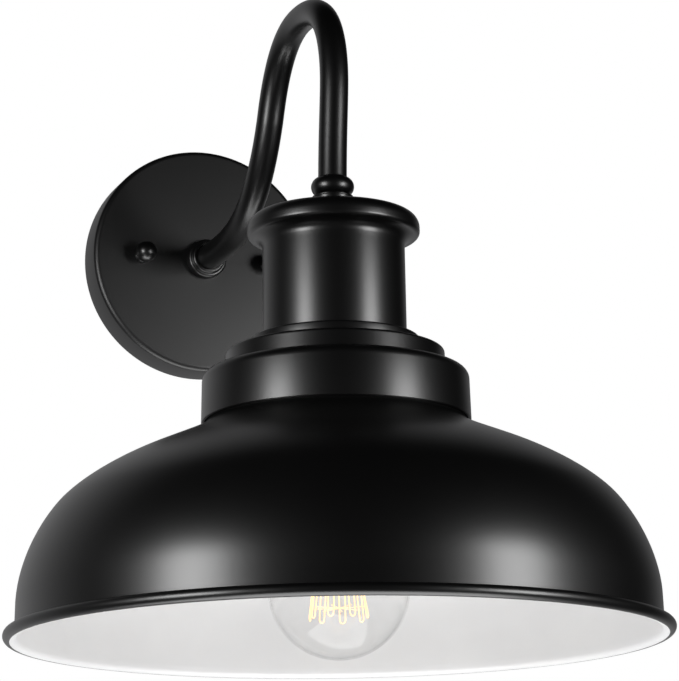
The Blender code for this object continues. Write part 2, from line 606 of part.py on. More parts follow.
def socket_stirrup():
    """Strap that hangs the lampholder from the threaded tube."""
    leg_foot = SOCKET_SCREW_Z - 6.0 * MM
    path = [(-STIRRUP_HALF, leg_foot), (-STIRRUP_HALF, STIRRUP_TOP_Z), (STIRRUP_HALF, STIRRUP_TOP_Z),
            (STIRRUP_HALF, leg_foot)]
    stirrup = strip("socket_stirrup", path, STIRRUP_WIDTH, STIRRUP_THICKNESS, ZINC)
    cut(stirrup, rod_mesh("stirrup_tube_hole", NIPPLE_HOLE, 6.0 * MM, [(0.0, 0.0, STIRRUP_TOP_Z)]), LAMP)
    legs = [(side * STIRRUP_HALF, 0.0, SOCKET_SCREW_Z) for _, side in SIDES]
    cut(stirrup, rod_mesh("stirrup_leg_holes", SCREW_SHANK + GAP, 5.0 * MM, legs, "X", 16), LAMP)
    nut_high = STIRRUP_TOP_Z - STIRRUP_THICKNESS / 2 - GAP
    hex_nut("stirrup_nut", 15.0 * MM, NIPPLE_HOLE, nut_high - 3.2 * MM, nut_high, ZINC)


# ---- bulb ---------------------------------------------------------------------------------
def bulb_glass():
    """Clear pear-shaped envelope, open at the neck where the cap is cemented on."""
    centre_z = BULB_TIP_Z + BULB_RADIUS
    skin = [(11.4 * MM, 113.0 * MM), (11.5 * MM, 105.6 * MM)]
    skin += sweep((12.8 * MM, 104.4 * MM), (15.5 * MM, 84.0 * MM), (BULB_RADIUS, 56.0 * MM),
                  (BULB_RADIUS, centre_z), 6)
    skin += arc((0.0, centre_z), BULB_RADIUS, 0, -90, 6)[1:]
    skin[-1] = (0.0, BULB_TIP_Z)
    inner = inset(skin, BULB_GLASS_WALL)
    inner[-1] = (0.0, BULB_TIP_Z + BULB_GLASS_WALL)
    turned("bulb_glass", inner[::-1] + skin, CLEAR_GLASS, facets=AROUND_MEDIUM, ring=False)


def bulb_cap():
    """Screw cap with its rolled thread, glass insulator and solder contact."""
    outline = [(9.8 * MM, 128.3 * MM), (BULB_ROOT, 126.6 * MM)]
    for turn in range(4):
        crest = 124.4 * MM - turn * THREAD_PITCH
        outline += [(BULB_ROOT, crest + 1.3 * MM), (BULB_CREST, crest), (BULB_ROOT, crest - 1.3 * MM)]
    outline += [(BULB_ROOT, 109.4 * MM), (BULB_CREST, 108.4 * MM), (BULB_CREST, 106.0 * MM)]
    outline += [(11.9 * MM, 106.0 * MM), (11.9 * MM, 126.0 * MM), (9.3 * MM, 127.8 * MM)]
    turned("bulb_cap", outline, NICKEL, facets=AROUND_MEDIUM)
    insulator = [(3.3 * MM, 131.0 * MM), (5.4 * MM, 131.0 * MM), (8.9 * MM, 128.9 * MM),
                 (8.9 * MM, 127.0 * MM), (3.3 * MM, 127.0 * MM)]
    turned("bulb_insulator", insulator, BLACK_GLASS, facets=AROUND_SMALL)
    contact = [(0.0, BULB_CONTACT_Z), (3.0 * MM, BULB_CONTACT_Z - 0.1 * MM),
               (4.3 * MM, BULB_CONTACT_Z - 0.5 * MM), (4.3 * MM, 131.3 * MM), (2.9 * MM, 131.3 * MM),
               (2.9 * MM, 128.5 * MM), (0.0, 128.5 * MM)]
    turned("bulb_contact", contact, ZINC, facets=AROUND_SMALL, ring=False)


def bulb_stem():
    """Glass mount: flare, tube, pinch and the thin rod that carries the cage."""
    outline = [(0.0, 112.0 * MM), (10.2 * MM, 112.0 * MM), (10.2 * MM, 111.2 * MM), (5.2 * MM, 104.0 * MM),
               (4.2 * MM, 98.0 * MM), (4.2 * MM, 86.0 * MM), (2.4 * MM, 77.0 * MM), (1.1 * MM, 74.0 * MM),
               (1.1 * MM, 17.0 * MM), (2.4 * MM, 15.5 * MM), (2.4 * MM, 13.5 * MM), (0.0, 12.5 * MM)]
    turned("bulb_stem", outline, CLEAR_GLASS, facets=16, ring=False)


def bulb_filament():
    """One wire that runs up and down round the mount like the bars of a cage."""
    ends = 16
    pitch = math.radians(340) / ends
    levels = ((CAGE_TOP_RADIUS, 70.0 * MM), (CAGE_FOOT_RADIUS, 10.0 * MM))
    points = []
    for index in range(ends):
        radius, height = levels[index % 2]
        for lean in (-0.28, 0.28):
            angle = (index + lean) * pitch
            points.append((radius * math.cos(angle), radius * math.sin(angle), height))
    place("bulb_filament", tube_mesh("bulb_filament", points, 0.3 * MM, 6), FILAMENT, LAMP)


# ---- leads --------------------------------------------------------------------------------
def leads():
    """Two sleeved leads from the wire nuts through the arm to the terminals, and the earth lead."""
    along_arm = [(y, z) for y, z in arm_points(4)][::-1][1:-1]
    for name, side, sleeve in (("dark", -1, DARK_SLEEVE), ("light", 1, LIGHT_SLEEVE)):
        x = side * WIRE_APART
        nut_x = side * 18.0 * MM
        knots = [(nut_x, -9.5 * MM, 21.0 * MM), (side * 16.5 * MM, -9.2 * MM, 15.0 * MM),
                 (side * 10.0 * MM, -6.6 * MM, 7.0 * MM), (side * 3.0 * MM, -6.9 * MM, 1.2 * MM),
                 (x, -12.5 * MM, 0.0), (x, -24.0 * MM, 0.0)]
        knots += [(x, y, z) for y, z in along_arm if y < -30.0 * MM]
        below = [(x, 0.0, 184.0 * MM), (0.7 * x, side * 6.0 * MM, 174.0 * MM),
                 (0.0, side * 16.0 * MM, 162.0 * MM), (0.0, side * 20.6 * MM, 151.0 * MM),
                 (0.0, side * 20.0 * MM, 142.0 * MM)]
        knots += [LAMP + Vector(knot) for knot in below]
        route = smooth_route(knots, 2)
        place("lead_" + name, tube_mesh("lead_" + name, route, WIRE_RADIUS, 6), sleeve)
        hole = WIRE_RADIUS + 2 * GAP
        cap = [(0.0, 39.0 * MM), (3.6 * MM, 38.6 * MM), (4.4 * MM, 30.0 * MM), (5.4 * MM, 22.0 * MM),
               (5.4 * MM, 20.0 * MM), (hole, 20.0 * MM), (hole, 22.5 * MM), (0.0, 22.5 * MM)]
        turned("wire_nut_" + name, cap, NUT_PLASTIC, Vector((nut_x, -9.5 * MM, 0.0)), facets=16, ring=False)
    earth = [(6.0 * MM, -12.6 * MM, -9.0 * MM), (9.0 * MM, -10.0 * MM, -10.5 * MM),
             (13.0 * MM, -6.0 * MM, -9.0 * MM), (17.0 * MM, -4.2 * MM, -5.7 * MM)]
    place("lead_earth", tube_mesh("lead_earth", smooth_route(earth), 0.8 * MM, 8), COPPER)


wall_plate()
wall_seal()
crossbar()
studs_and_nuts()
ground_screw()
plate_nipple()
gooseneck_arm()
arm_end_at_lamp()
housing()
foot_ring()
shade_holder()
shade()
shade_ring()
socket_body()
socket_metal()
socket_stirrup()
bulb_glass()
bulb_cap()
bulb_stem()
bulb_filament()
leads()
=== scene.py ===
# %% [markdown]
# # A barn-style outdoor wall lantern
# A satin black shade hangs from a gooseneck arm on a round wall plate.  The frame already
# holds every piece as a plain solid with the right size and place.  The cells below make
# the fine surface of each piece around that frame: turned metal, rolled threads, clear
# glass, powder coat.  They run from top to bottom, and each one prints what it made.
# %% Load the frame
import math

import bmesh
import bpy
from mathutils import Matrix, Vector
from mathutils.geometry import interpolate_bezier


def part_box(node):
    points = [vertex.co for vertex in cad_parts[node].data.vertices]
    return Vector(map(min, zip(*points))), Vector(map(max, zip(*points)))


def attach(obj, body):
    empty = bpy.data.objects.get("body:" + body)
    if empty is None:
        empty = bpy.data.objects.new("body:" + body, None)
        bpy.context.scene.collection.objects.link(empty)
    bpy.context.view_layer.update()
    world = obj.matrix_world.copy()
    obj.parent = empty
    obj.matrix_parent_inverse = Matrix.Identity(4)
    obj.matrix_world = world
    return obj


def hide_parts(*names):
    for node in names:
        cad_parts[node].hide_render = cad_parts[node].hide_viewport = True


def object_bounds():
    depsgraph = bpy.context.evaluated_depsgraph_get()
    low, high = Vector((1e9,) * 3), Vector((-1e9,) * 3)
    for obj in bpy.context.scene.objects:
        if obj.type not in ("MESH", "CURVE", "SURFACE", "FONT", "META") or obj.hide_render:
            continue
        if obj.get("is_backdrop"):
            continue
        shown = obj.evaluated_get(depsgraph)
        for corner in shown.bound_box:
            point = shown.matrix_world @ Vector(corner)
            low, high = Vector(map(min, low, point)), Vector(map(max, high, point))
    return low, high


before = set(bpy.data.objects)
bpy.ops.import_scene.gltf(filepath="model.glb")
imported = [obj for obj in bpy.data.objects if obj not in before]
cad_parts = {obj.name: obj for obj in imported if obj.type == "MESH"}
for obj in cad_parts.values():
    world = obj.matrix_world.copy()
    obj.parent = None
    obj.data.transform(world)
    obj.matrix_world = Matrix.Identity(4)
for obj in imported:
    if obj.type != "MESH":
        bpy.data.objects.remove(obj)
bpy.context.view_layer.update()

# %% [markdown]
# ## Measuring the frame
# Nearly everything on the lantern was turned on a lathe or spun over a former, so two axes
# place it all: the lamp's upright axis, and the plate's axis, which leaves the wall at a
# right angle.  Heights are counted up from the shade's lower rim, and plate depths are
# counted out from the wall, so that a profile reads like a workshop drawing.
# %% Two axes and their measuring tapes
MM = 0.001
FULL_TURN = 2 * math.pi

rim_low, rim_high = (Vector(corner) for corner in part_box("shade"))
AXIS_Y = (rim_low.y + rim_high.y) / 2
RIM = rim_low.z
LAMP = Matrix.Translation((0.0, AXIS_Y, RIM))
OUT = Matrix.Rotation(math.radians(90), 4, "X")


def upright(node):
    """Radius, foot and top of a piece turned about the lamp's axis; heights from the rim."""
    low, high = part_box(node)
    return (high[0] - low[0]) / 2, low[2] - RIM, high[2] - RIM


def outward(node):
    """Radius, back and front of a piece turned about an axis that leaves the wall."""
    low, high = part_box(node)
    return (high[0] - low[0]) / 2, -high[1], -low[1]


def on_plate(node):
    """The placing matrix of a piece that points out of the plate."""
    low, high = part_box(node)
    return Matrix.Translation(((low[0] + high[0]) / 2, 0.0, (low[2] + high[2]) / 2)) @ OUT


print(f"lamp axis {-AXIS_Y:.4f} m from the wall, rim at {RIM:.4f} m")

# %% [markdown]
# ## Shader sums as plain Python
# A finish is a web of nodes, and most of the web is arithmetic.  The small class below wraps
# one output socket, so that `0.3 + 0.1 * grain` adds the Math nodes by itself.  One method
# makes every other kind of node: settings go in first, then the values or links.
# %% Signal
class Signal:
    """One socket of a finish, which can be added, subtracted and multiplied."""

    def __init__(self, tree, socket):
        self.tree = tree
        self.socket = socket

    def node(self, kind, settings=None, inputs=None, output=0):
        made = self.tree.nodes.new("ShaderNode" + kind)
        for name, value in (settings or {}).items():
            if name == "stops":
                for stop, (position, colour) in zip(made.color_ramp.elements, value):
                    stop.position, stop.color = position, (*colour, 1.0)
            else:
                setattr(made, name, value)
        for name, value in (inputs or {}).items():
            self.feed(made.inputs[name], value)
        return Signal(self.tree, made.outputs[output])

    def feed(self, target, value):
        if isinstance(value, Signal):
            self.tree.links.new(value.socket, target)
        else:
            target.default_value = value

    def math(self, operation, first, second):
        return self.node("Math", {"operation": operation}, {0: first, 1: second})

    def __add__(self, other):
        return self.math("ADD", self, other)

    def __radd__(self, other):
        return self.math("ADD", other, self)

    def __sub__(self, other):
        return self.math("SUBTRACT", self, other)

    def __rsub__(self, other):
        return self.math("SUBTRACT", other, self)

    def __mul__(self, other):
        return self.math("MULTIPLY", self, other)

    def __rmul__(self, other):
        return self.math("MULTIPLY", other, self)

    def noise(self, size, detail=2.0, stretch=(1.0, 1.0, 1.0)):
        """Cloudy noise whose blobs are about the given size across."""
        placed = self.node("Mapping", {"vector_type": "POINT"}, {"Vector": self, "Scale": stretch})
        return self.node("TexNoise", {}, {"Vector": placed, "Scale": 0.5 / size, "Detail": detail})

    def cells(self, size):
        """Distance to the nearest of many scattered points."""
        return self.node("TexVoronoi", {"feature": "F1"}, {"Vector": self, "Scale": 1.0 / size})

    def above(self, low, high):
        """Nought below one value, one above the other, smooth between."""
        return self.node("MapRange", {"interpolation_type": "SMOOTHSTEP"},
                         {"Value": self, "From Min": low, "From Max": high})

    def blend(self, first, second):
        """From one colour to another as this signal goes from nought to one."""
        ends = {6: (*first, 1.0), 7: (*second, 1.0)}
        return self.node("Mix", {"data_type": "RGBA"}, {0: self, **ends}, 2)


def start_finish(name, metallic=0.0, **uniform):
    """A new material: its shader, and the place on the object as a signal."""
    material = bpy.data.materials.new(name)
    material.use_nodes = True
    tree = material.node_tree
    shader = tree.nodes["Principled BSDF"]
    shader.inputs["Metallic"].default_value = metallic
    for socket, value in uniform.items():
        shader.inputs[socket.replace("_", " ")].default_value = value
    place = Signal(tree, tree.nodes.new("ShaderNodeTexCoord").outputs["Object"])
    return material, shader, place


def surface(place, shader, colour, roughness, height=None, depth=0.0):
    """Feed a finish's colour, roughness and relief; depth is the relief's real depth."""
    place.feed(shader.inputs["Base Color"], colour)
    place.feed(shader.inputs["Roughness"], roughness)
    if height:
        bump = place.node("Bump", {}, {"Height": height, "Distance": depth, "Strength": 1.0})
        place.feed(shader.inputs["Normal"], bump)


print("signals ready")

# %% [markdown]
# ## Camera and studio
# The lantern is seen from a little below its rim, turned twenty degrees, through a long
# lens.  Two soft boxes stand low at either side of the camera and draw the two soft streaks
# on every turned piece.  Black paint shows only what it mirrors, so the rest of the room is
# kept dim, a white wall stands behind, and a pale floor sends light up into the shade.
# %% Camera
CAMERA_PLACE = (-0.40766, -1.34325, -0.37776)
CAMERA_HEADING = -20.068
CAMERA_PITCH = 13.511
CAMERA_ROLL = -0.930
LENS = 141.32

camera = bpy.data.objects.new("camera", bpy.data.cameras.new("camera"))
camera.data.lens = LENS
camera.data.sensor_width = 36.0
camera.data.clip_start = 0.05
camera.matrix_world = (
    Matrix.Translation(CAMERA_PLACE)
    @ Matrix.Rotation(math.radians(CAMERA_HEADING), 4, "Z")
    @ Matrix.Rotation(math.radians(90 + CAMERA_PITCH), 4, "X")
    @ Matrix.Rotation(math.radians(CAMERA_ROLL), 4, "Z")
)
bpy.context.scene.collection.objects.link(camera)
bpy.context.scene.camera = camera
bpy.context.scene.view_settings.view_transform = "Standard"
print(f"camera {camera.matrix_world.translation.length:.3f} m from the plate")

# %% Soft boxes
LAMP_CENTRE = Vector((0.0, AXIS_Y, RIM + 80 * MM))


def soft_box(name, azimuth, elevation, distance, width, height, power):
    """An area lamp that faces the lantern; azimuth 0 is straight in front, plus is right."""
    turn = math.radians(azimuth)
    rise = math.radians(elevation)
    level = math.cos(rise)
    away = Vector((math.sin(turn) * level, -math.cos(turn) * level, math.sin(rise)))
    data = bpy.data.lights.new(name, "AREA")
    data.shape = "RECTANGLE"
    data.size = width
    data.size_y = height
    data.energy = power
    lamp = bpy.data.objects.new(name, data)
    lamp.location = LAMP_CENTRE + away * distance
    lamp.rotation_euler = (-away).to_track_quat("-Z", "Y").to_euler()
    lamp.visible_camera = False
    bpy.context.scene.collection.objects.link(lamp)
    print(f"{name}: {power} W")
    return lamp


soft_box("soft_box_left", -67, 2, 0.85, 0.29, 0.42, 3.4)
soft_box("soft_box_right", 38, 2, 0.8, 0.29, 0.42, 3.0)
soft_box("floor_bounce", 0, -86, 0.9, 1.1, 1.1, 12)

# %% Room
DIM_SIDE = (0.72, (0.004, 0.004, 0.004))
PALE_SIDE = (0.98, (0.45, 0.45, 0.455))

world = bpy.data.worlds.new("room")
bpy.context.scene.world = world
world.use_nodes = True
tree = world.node_tree
tree.nodes.clear()
sky = Signal(tree, tree.nodes.new("ShaderNodeTexCoord").outputs["Generated"])
behind = 0.5 + 0.5 * sky.node("SeparateXYZ", {}, {0: sky}, "Y")
walls = sky.node("ValToRGB", {"stops": (DIM_SIDE, PALE_SIDE)}, {0: behind})
mirrored = sky.node("Background", {}, {"Color": walls})
seen = sky.node("Background", {}, {"Color": (1.0, 1.0, 1.0, 1.0)})
straight = sky.node("LightPath", {}, {}, "Is Camera Ray")
both = sky.node("MixShader", {}, {0: straight, 1: mirrored, 2: seen})
both.feed(tree.nodes.new("ShaderNodeOutputWorld").inputs["Surface"], both)
print("room dim in front, pale behind the wall plate")

# %% Floor
FLOOR_DROP = 1.6
FLOOR_HALF = 2.0

work = bmesh.new()
bmesh.ops.create_grid(work, x_segments=1, y_segments=1, size=FLOOR_HALF)
bmesh.ops.translate(work, vec=(0.0, AXIS_Y, RIM - FLOOR_DROP), verts=work.verts)
floor_mesh = bpy.data.meshes.new("floor")
work.to_mesh(floor_mesh)
work.free()
floor = bpy.data.objects.new("floor", floor_mesh)
bpy.context.scene.collection.objects.link(floor)
floor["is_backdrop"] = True

floor_paint, floor_shader, floor_place = start_finish("pale_floor")
floor_clouds = floor_place.noise(0.4, 2.0)
floor_colour = floor_clouds.blend((0.80, 0.80, 0.80), (0.84, 0.84, 0.84))
surface(floor_place, floor_shader, floor_colour, 0.85)
floor_mesh.materials.append(floor_paint)
print("floor", FLOOR_DROP, "m under the rim")

# %% [markdown]
# ## Powder coat and enamel
# Powder coat is baked plastic.  It is satin, nearly black, and close up it has a faint
# orange peel a millimetre or two across, with a little fine grain on top.  The flat plate's
# coat is a little duller than the coat on the turned pieces.  Inside, the shade is sprayed
# glossy white to throw the light down.
# %% Black coat and white enamel
def black_coat(name, roughness):
    material, shader, place = start_finish(name, Specular_IOR_Level=1.0)
    peel = place.noise(1.6 * MM, 1.0)
    grain = place.noise(0.35 * MM, 2.0)
    clouds = place.noise(40 * MM, 3.0)
    colour = clouds.above(0.3, 0.7).blend((0.0016, 0.0016, 0.0017), (0.0026, 0.0026, 0.0027))
    gloss = roughness + 0.05 * clouds + 0.03 * grain
    surface(place, shader, colour, gloss, peel + 0.25 * grain, 0.012 * MM)
    return material


def white_enamel():
    material, shader, place = start_finish("white_enamel")
    peel = place.noise(2.0 * MM, 1.0)
    clouds = place.noise(30 * MM, 3.0)
    colour = clouds.above(0.3, 0.7).blend((0.86, 0.86, 0.865), (0.90, 0.90, 0.90))
    surface(place, shader, colour, 0.28 + 0.08 * clouds, peel, 0.01 * MM)
    return material


COAT = black_coat("black_powder_coat", 0.29)
PLATE_COAT = black_coat("plate_powder_coat", 0.39)
ENAMEL = white_enamel()
print(COAT.name, PLATE_COAT.name, ENAMEL.name)

# %% [markdown]
# ## Bare and plated metals
# The strap, studs, nuts and threaded tubes are cut from zinc-plated steel.  Thin zinc has a
# blue cast with straw-coloured clouds and fine drawing marks.  The screw shell is brass, the
# bulb's cap is nickel-plated, the earth screw is dyed green and its lead is bare copper.
# %% Metal finishes
def metal(name, dark, light, smooth, rough, drawn=(1.0, 1.0, 1.0), metallic=1.0):
    """A metal with soft clouds of colour, fine marks and a few darker specks."""
    material, shader, place = start_finish(name, metallic)
    clouds = place.noise(6 * MM, 4.0)
    marks = place.noise(0.25 * MM, 3.0, drawn)
    specks = place.noise(0.7 * MM, 2.0).above(0.62, 0.72)
    colour = (clouds * (1 - 0.35 * specks)).blend(dark, light)
    roughness = smooth + (rough - smooth) * clouds + 0.12 * specks
    surface(place, shader, colour, roughness, marks, 0.008 * MM)
    return material


ZINC = metal("zinc_plate", (0.50, 0.52, 0.55), (0.74, 0.73, 0.68), 0.26, 0.46, (1.0, 0.12, 1.0))
BRASS = metal("brass", (0.52, 0.34, 0.12), (0.80, 0.60, 0.30), 0.24, 0.45)
NICKEL = metal("nickel_plate", (0.52, 0.50, 0.46), (0.78, 0.75, 0.70), 0.16, 0.34)
GREEN = metal("green_dyed_steel", (0.01, 0.12, 0.035), (0.03, 0.30, 0.09), 0.30, 0.48, metallic=0.6)
COPPER = metal("bare_copper", (0.46, 0.17, 0.09), (0.84, 0.46, 0.30), 0.26, 0.42)
print("five metals")

# %% [markdown]
# ## Porcelain, plastic, foam and sleeves
# The lampholder is glazed porcelain: white, glossy, with a few iron specks under the glaze.
# The clamp ring is dark moulded phenolic, mottled by its wood-flour filler.  The seal is
# closed-cell foam, the leads have soft silicone sleeves, and the wire nuts are plain plastic.
# %% Non-metal finishes
def porcelain():
    material, shader, place = start_finish("porcelain", Coat_Weight=0.6, Coat_Roughness=0.06)
    waves = place.noise(5 * MM, 2.0)
    specks = place.noise(0.5 * MM, 1.0).above(0.70, 0.76)
    colour = specks.blend((0.86, 0.85, 0.80), (0.42, 0.36, 0.28))
    surface(place, shader, colour, 0.18 + 0.10 * waves, waves, 0.05 * MM)
    return material


def moulded(name, dark, light, smooth, mottle, grain_depth):
    """A moulded plastic or rubber with mottled colour and a fine grain."""
    material, shader, place = start_finish(name)
    blotches = place.noise(mottle, 4.0)
    grain = place.noise(0.3 * MM, 2.0)
    colour = blotches.above(0.3, 0.7).blend(dark, light)
    surface(place, shader, colour, smooth + 0.15 * blotches, grain, grain_depth)
    return material


def foam():
    material, shader, place = start_finish("closed_cell_foam")
    pores = place.cells(0.8 * MM)
    # The pore hollows are painted darker than the cell walls between them. This is painted shade in
    # the pores; the bump draws their real depth.
    colour = pores.above(0.1, 0.6).blend((0.010, 0.010, 0.011), (0.045, 0.045, 0.047))
    surface(place, shader, colour, 0.85 + 0.10 * pores, pores, 0.25 * MM)
    return material


PORCELAIN = porcelain()
PHENOLIC = moulded("phenolic", (0.010, 0.008, 0.007), (0.035, 0.028, 0.022),
                   0.34, 1.2 * MM, 0.01 * MM)
NUT_PLASTIC = moulded("nut_plastic", (0.52, 0.15, 0.01), (0.72, 0.26, 0.03),
                      0.36, 3.0 * MM, 0.015 * MM)
DARK_SLEEVE = moulded("dark_sleeve", (0.008, 0.008, 0.008), (0.022, 0.022, 0.023),
                      0.42, 2.0 * MM, 0.02 * MM)
LIGHT_SLEEVE = moulded("light_sleeve", (0.70, 0.69, 0.65), (0.84, 0.83, 0.80),
                       0.42, 2.0 * MM, 0.02 * MM)
BLACK_GLASS = moulded("black_glass", (0.004, 0.004, 0.006), (0.012, 0.012, 0.016),
                      0.06, 2.0 * MM, 0.004 * MM)
FOAM = foam()
print("seven non-metals")

# %% [markdown]
# ## Clear glass and the filament
# The bulb is blown very thin, so it hardly bends what is behind it: it shows by what it
# mirrors, mostly near its outline.  So the glass is a see-through shader with a mirror mixed
# in where the wall turns away.  The filament is hot wire: pale gold, and glowing a little.
# %% Glass and hot wire
def clear_glass():
    material, shader, place = start_finish("clear_glass")
    tree = material.node_tree
    tree.nodes.remove(shader)
    ripples = place.noise(9 * MM, 1.0)
    relief = {"Height": ripples, "Distance": 0.06 * MM, "Strength": 1.0}
    bump = place.node("Bump", {}, relief)
    through = place.node("BsdfTransparent", {}, {"Color": (0.996, 0.996, 0.995, 1.0)})
    gloss = place.node("BsdfGlossy", {}, {"Roughness": 0.02, "Normal": bump})
    facing = place.node("LayerWeight", {}, {"Blend": 0.5}, "Facing")
    mirror = 0.02 + 0.6 * facing.math("POWER", facing, 5.0)
    mixed = place.node("MixShader", {}, {0: mirror, 1: through, 2: gloss})
    place.feed(tree.nodes["Material Output"].inputs["Surface"], mixed)
    return material


def hot_wire():
    material, shader, place = start_finish("hot_wire", 0.3, Emission_Strength=1.6)
    heat = place.noise(3 * MM, 2.0)
    surface(place, shader, heat.blend((0.70, 0.42, 0.14), (0.95, 0.72, 0.38)), 0.35 + 0.2 * heat)
    place.feed(shader.inputs["Emission Color"], heat.blend((1.0, 0.50, 0.16), (1.0, 0.78, 0.42)))
    return material


GLASS = clear_glass()
HOT_WIRE = hot_wire()
print("glass and filament")

# %% [markdown]
# ## Outlines
# A lathe shop draws half of a section and lets the machine turn it.  An outline here is the
# same: a list of (radius, height) points that runs down the outside and back up the inside.
# Round stretches come from an arc, a cubic curve, or a corner with a fillet.
# %% Outline helpers
def arc(centre, radius, start, end, steps=8):
    """Points on an arc; 0 degrees is outwards and 90 is up."""
    points = []
    for step in range(steps + 1):
        angle = math.radians(start + (end - start) * step / steps)
        points.append((centre[0] + radius * math.cos(angle), centre[1] + radius * math.sin(angle)))
    return points


def bend(first, first_handle, last_handle, last, steps=14):
    """Points on a cubic curve."""
    corners = [Vector((x, y, 0.0)) for x, y in (first, first_handle, last_handle, last)]
    return [(point.x, point.y) for point in interpolate_bezier(*corners, steps + 1)]


def rounded(corners, steps=5):
    """An outline in which each corner given as (radius, height, fillet) becomes an arc."""
    points = []
    for index, corner in enumerate(corners):
        here = Vector(corner[:2])
        if len(corner) == 2:
            points.append(tuple(here))
            continue
        back = (Vector(corners[index - 1][:2]) - here).normalized()
        ahead = (Vector(corners[(index + 1) % len(corners)][:2]) - here).normalized()
        half = back.angle(ahead) / 2
        centre = here + (back + ahead).normalized() * corner[2] / math.sin(half)
        start = here + back * corner[2] / math.tan(half) - centre
        end = here + ahead * corner[2] / math.tan(half) - centre
        sweep = start.angle(end)
        for step in range(steps + 1):
            part = sweep * step / steps
            spoke = (start * math.sin(sweep - part) + end * math.sin(part)) / math.sin(sweep)
            points.append(tuple(centre + spoke))
    return points


def inset(skin, depth):
    """The outline of a sheet's inner face, at a depth under its outer one."""
    moved = []
    for index, point in enumerate(skin):
        run = Vector(skin[min(index + 1, len(skin) - 1)]) - Vector(skin[max(index - 1, 0)])
        run.normalize()
        moved.append((point[0] + run.y * depth, point[1] - run.x * depth))
    return moved


def wall(radius, top, foot, rings):
    """A straight wall as evenly spaced points, so that a thread can be rolled into it."""
    return [(radius, top + (foot - top) * step / rings) for step in range(rings + 1)]


print(len(rounded([(1.0, 1.0, 0.2), (1.0, 0.0), (0.0, 0.0)])), "points round a test corner")

# %% [markdown]
# ## Turning, sealing and placing
# The spin operator is the lathe.  It is given a full turn with `use_merge`, and points on
# the axis, which it repeats, are merged into one pole.  Only then are the normals worked
# out, because a spin may leave the surface inside out.  Each piece ends at the origin with
# its place in its mesh, and rides on the body of the solid that it stands for.
# %% Lathe helpers
def spin(work, outline, steps=96, slot=0):
    """Turn an outline once round local Z; the new faces take a material slot."""
    dots = [work.verts.new((radius, 0.0, height)) for radius, height in outline]
    lines = [work.edges.new(pair) for pair in zip(dots, dots[1:])]
    older = set(work.faces)
    bmesh.ops.spin(work, geom=dots + lines, cent=(0.0, 0.0, 0.0), axis=(0.0, 0.0, 1.0),
                   angle=FULL_TURN, steps=steps, use_merge=True)
    for face in set(work.faces) - older:
        face.material_index = slot


def seal(work):
    """Merge doubles, poles included, and point every face outwards."""
    bmesh.ops.remove_doubles(work, verts=work.verts, dist=0.001 * MM)
    bmesh.ops.recalc_face_normals(work, faces=work.faces)


def turn(outline, steps=96):
    """A closed turned piece; an outline with an end off the axis is joined to its start."""
    work = bmesh.new()
    closing = [outline[0]] if outline[0][0] > 0 or outline[-1][0] > 0 else []
    spin(work, outline + closing, steps)
    seal(work)
    return work


def put(work, name, finish, body, stands_for, place=LAMP, sharp=35):
    """Make the finished object, in place and smooth, riding on its body."""
    bmesh.ops.transform(work, matrix=place, verts=work.verts)
    mesh = bpy.data.meshes.new(name)
    work.to_mesh(mesh)
    work.free()
    for material in finish if isinstance(finish, tuple) else (finish,):
        mesh.materials.append(material)
    mesh.shade_smooth()
    mesh.set_sharp_from_angle(angle=math.radians(sharp))
    piece = bpy.data.objects.new(name, mesh)
    bpy.context.scene.collection.objects.link(piece)
    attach(piece, body)
    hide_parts(*stands_for)
    print(f"{name}: {len(mesh.polygons)} faces")
    return piece


print("lathe ready")

# %% [markdown]
# ## Threads and grips
# A rolled thread is a wall pushed in and out along a helix.  So a turned wall with many
# rings becomes a thread when each point's radius follows a wave of its height less its turn,
# which makes it right-handed, faded out at both ends.  Grips use a wave of the angle alone.
# %% Thread and grip helpers
def roll_thread(work, foot, top, pitch, depth, inner=0.0, fade=None):
    """Sink a right-handed thread into the walls between two heights, outside an inner radius."""
    fade = fade or pitch
    for vert in work.verts:
        radius = math.hypot(vert.co.x, vert.co.y)
        if radius <= inner or not foot < vert.co.z < top:
            continue
        phase = vert.co.z / pitch - math.atan2(vert.co.y, vert.co.x) / FULL_TURN
        ends = min(1.0, (vert.co.z - foot) / fade, (top - vert.co.z) / fade)
        sunk = depth * ends * (0.5 - 0.5 * math.cos(FULL_TURN * phase))
        vert.co.xy *= 1 - sunk / radius


def press_grips(work, count, depth, outside, sharpness=3):
    """Press hollows into the wall outside a radius, evenly round it."""
    for vert in work.verts:
        radius = math.hypot(vert.co.x, vert.co.y)
        if radius > outside:
            wave = 0.5 + 0.5 * math.cos(count * math.atan2(vert.co.y, vert.co.x))
            vert.co.xy *= 1 - depth * wave ** sharpness / radius


print("thread roller and grips ready")

# %% [markdown]
# ## The shade
# The shade was spun from one steel disc: a flat top, a short neck, a shallow roof that
# rolls over a shoulder into a nearly upright wall, and a lip curled round into a bead.  It
# is turned here as two strips that share their ends, one per paint: black from the hole
# down to the underside of the bead, white from there up the inside.
# %% Spun shade
SHEET = 1.2 * MM
SHADE_NECK = 59.8 * MM
SHADE_HOLE = 20.6 * MM
NECK_FOOT = 100.0 * MM
ROOF = (90.0 * MM, 84.4 * MM)
ROOF_SLOPE = math.radians(-23.5)
SHOULDER = (127.2 * MM, 60.0 * MM)
SHOULDER_SLOPE = math.radians(-50.0)
SHADE_WALL = 144.6 * MM
LIP = 2.7 * MM

shade_radius, _, shade_top = upright("shade")


def along(point, slope, length):
    """The point at a length from another, down or up a slope."""
    return (point[0] + math.cos(slope) * length, point[1] + math.sin(slope) * length)


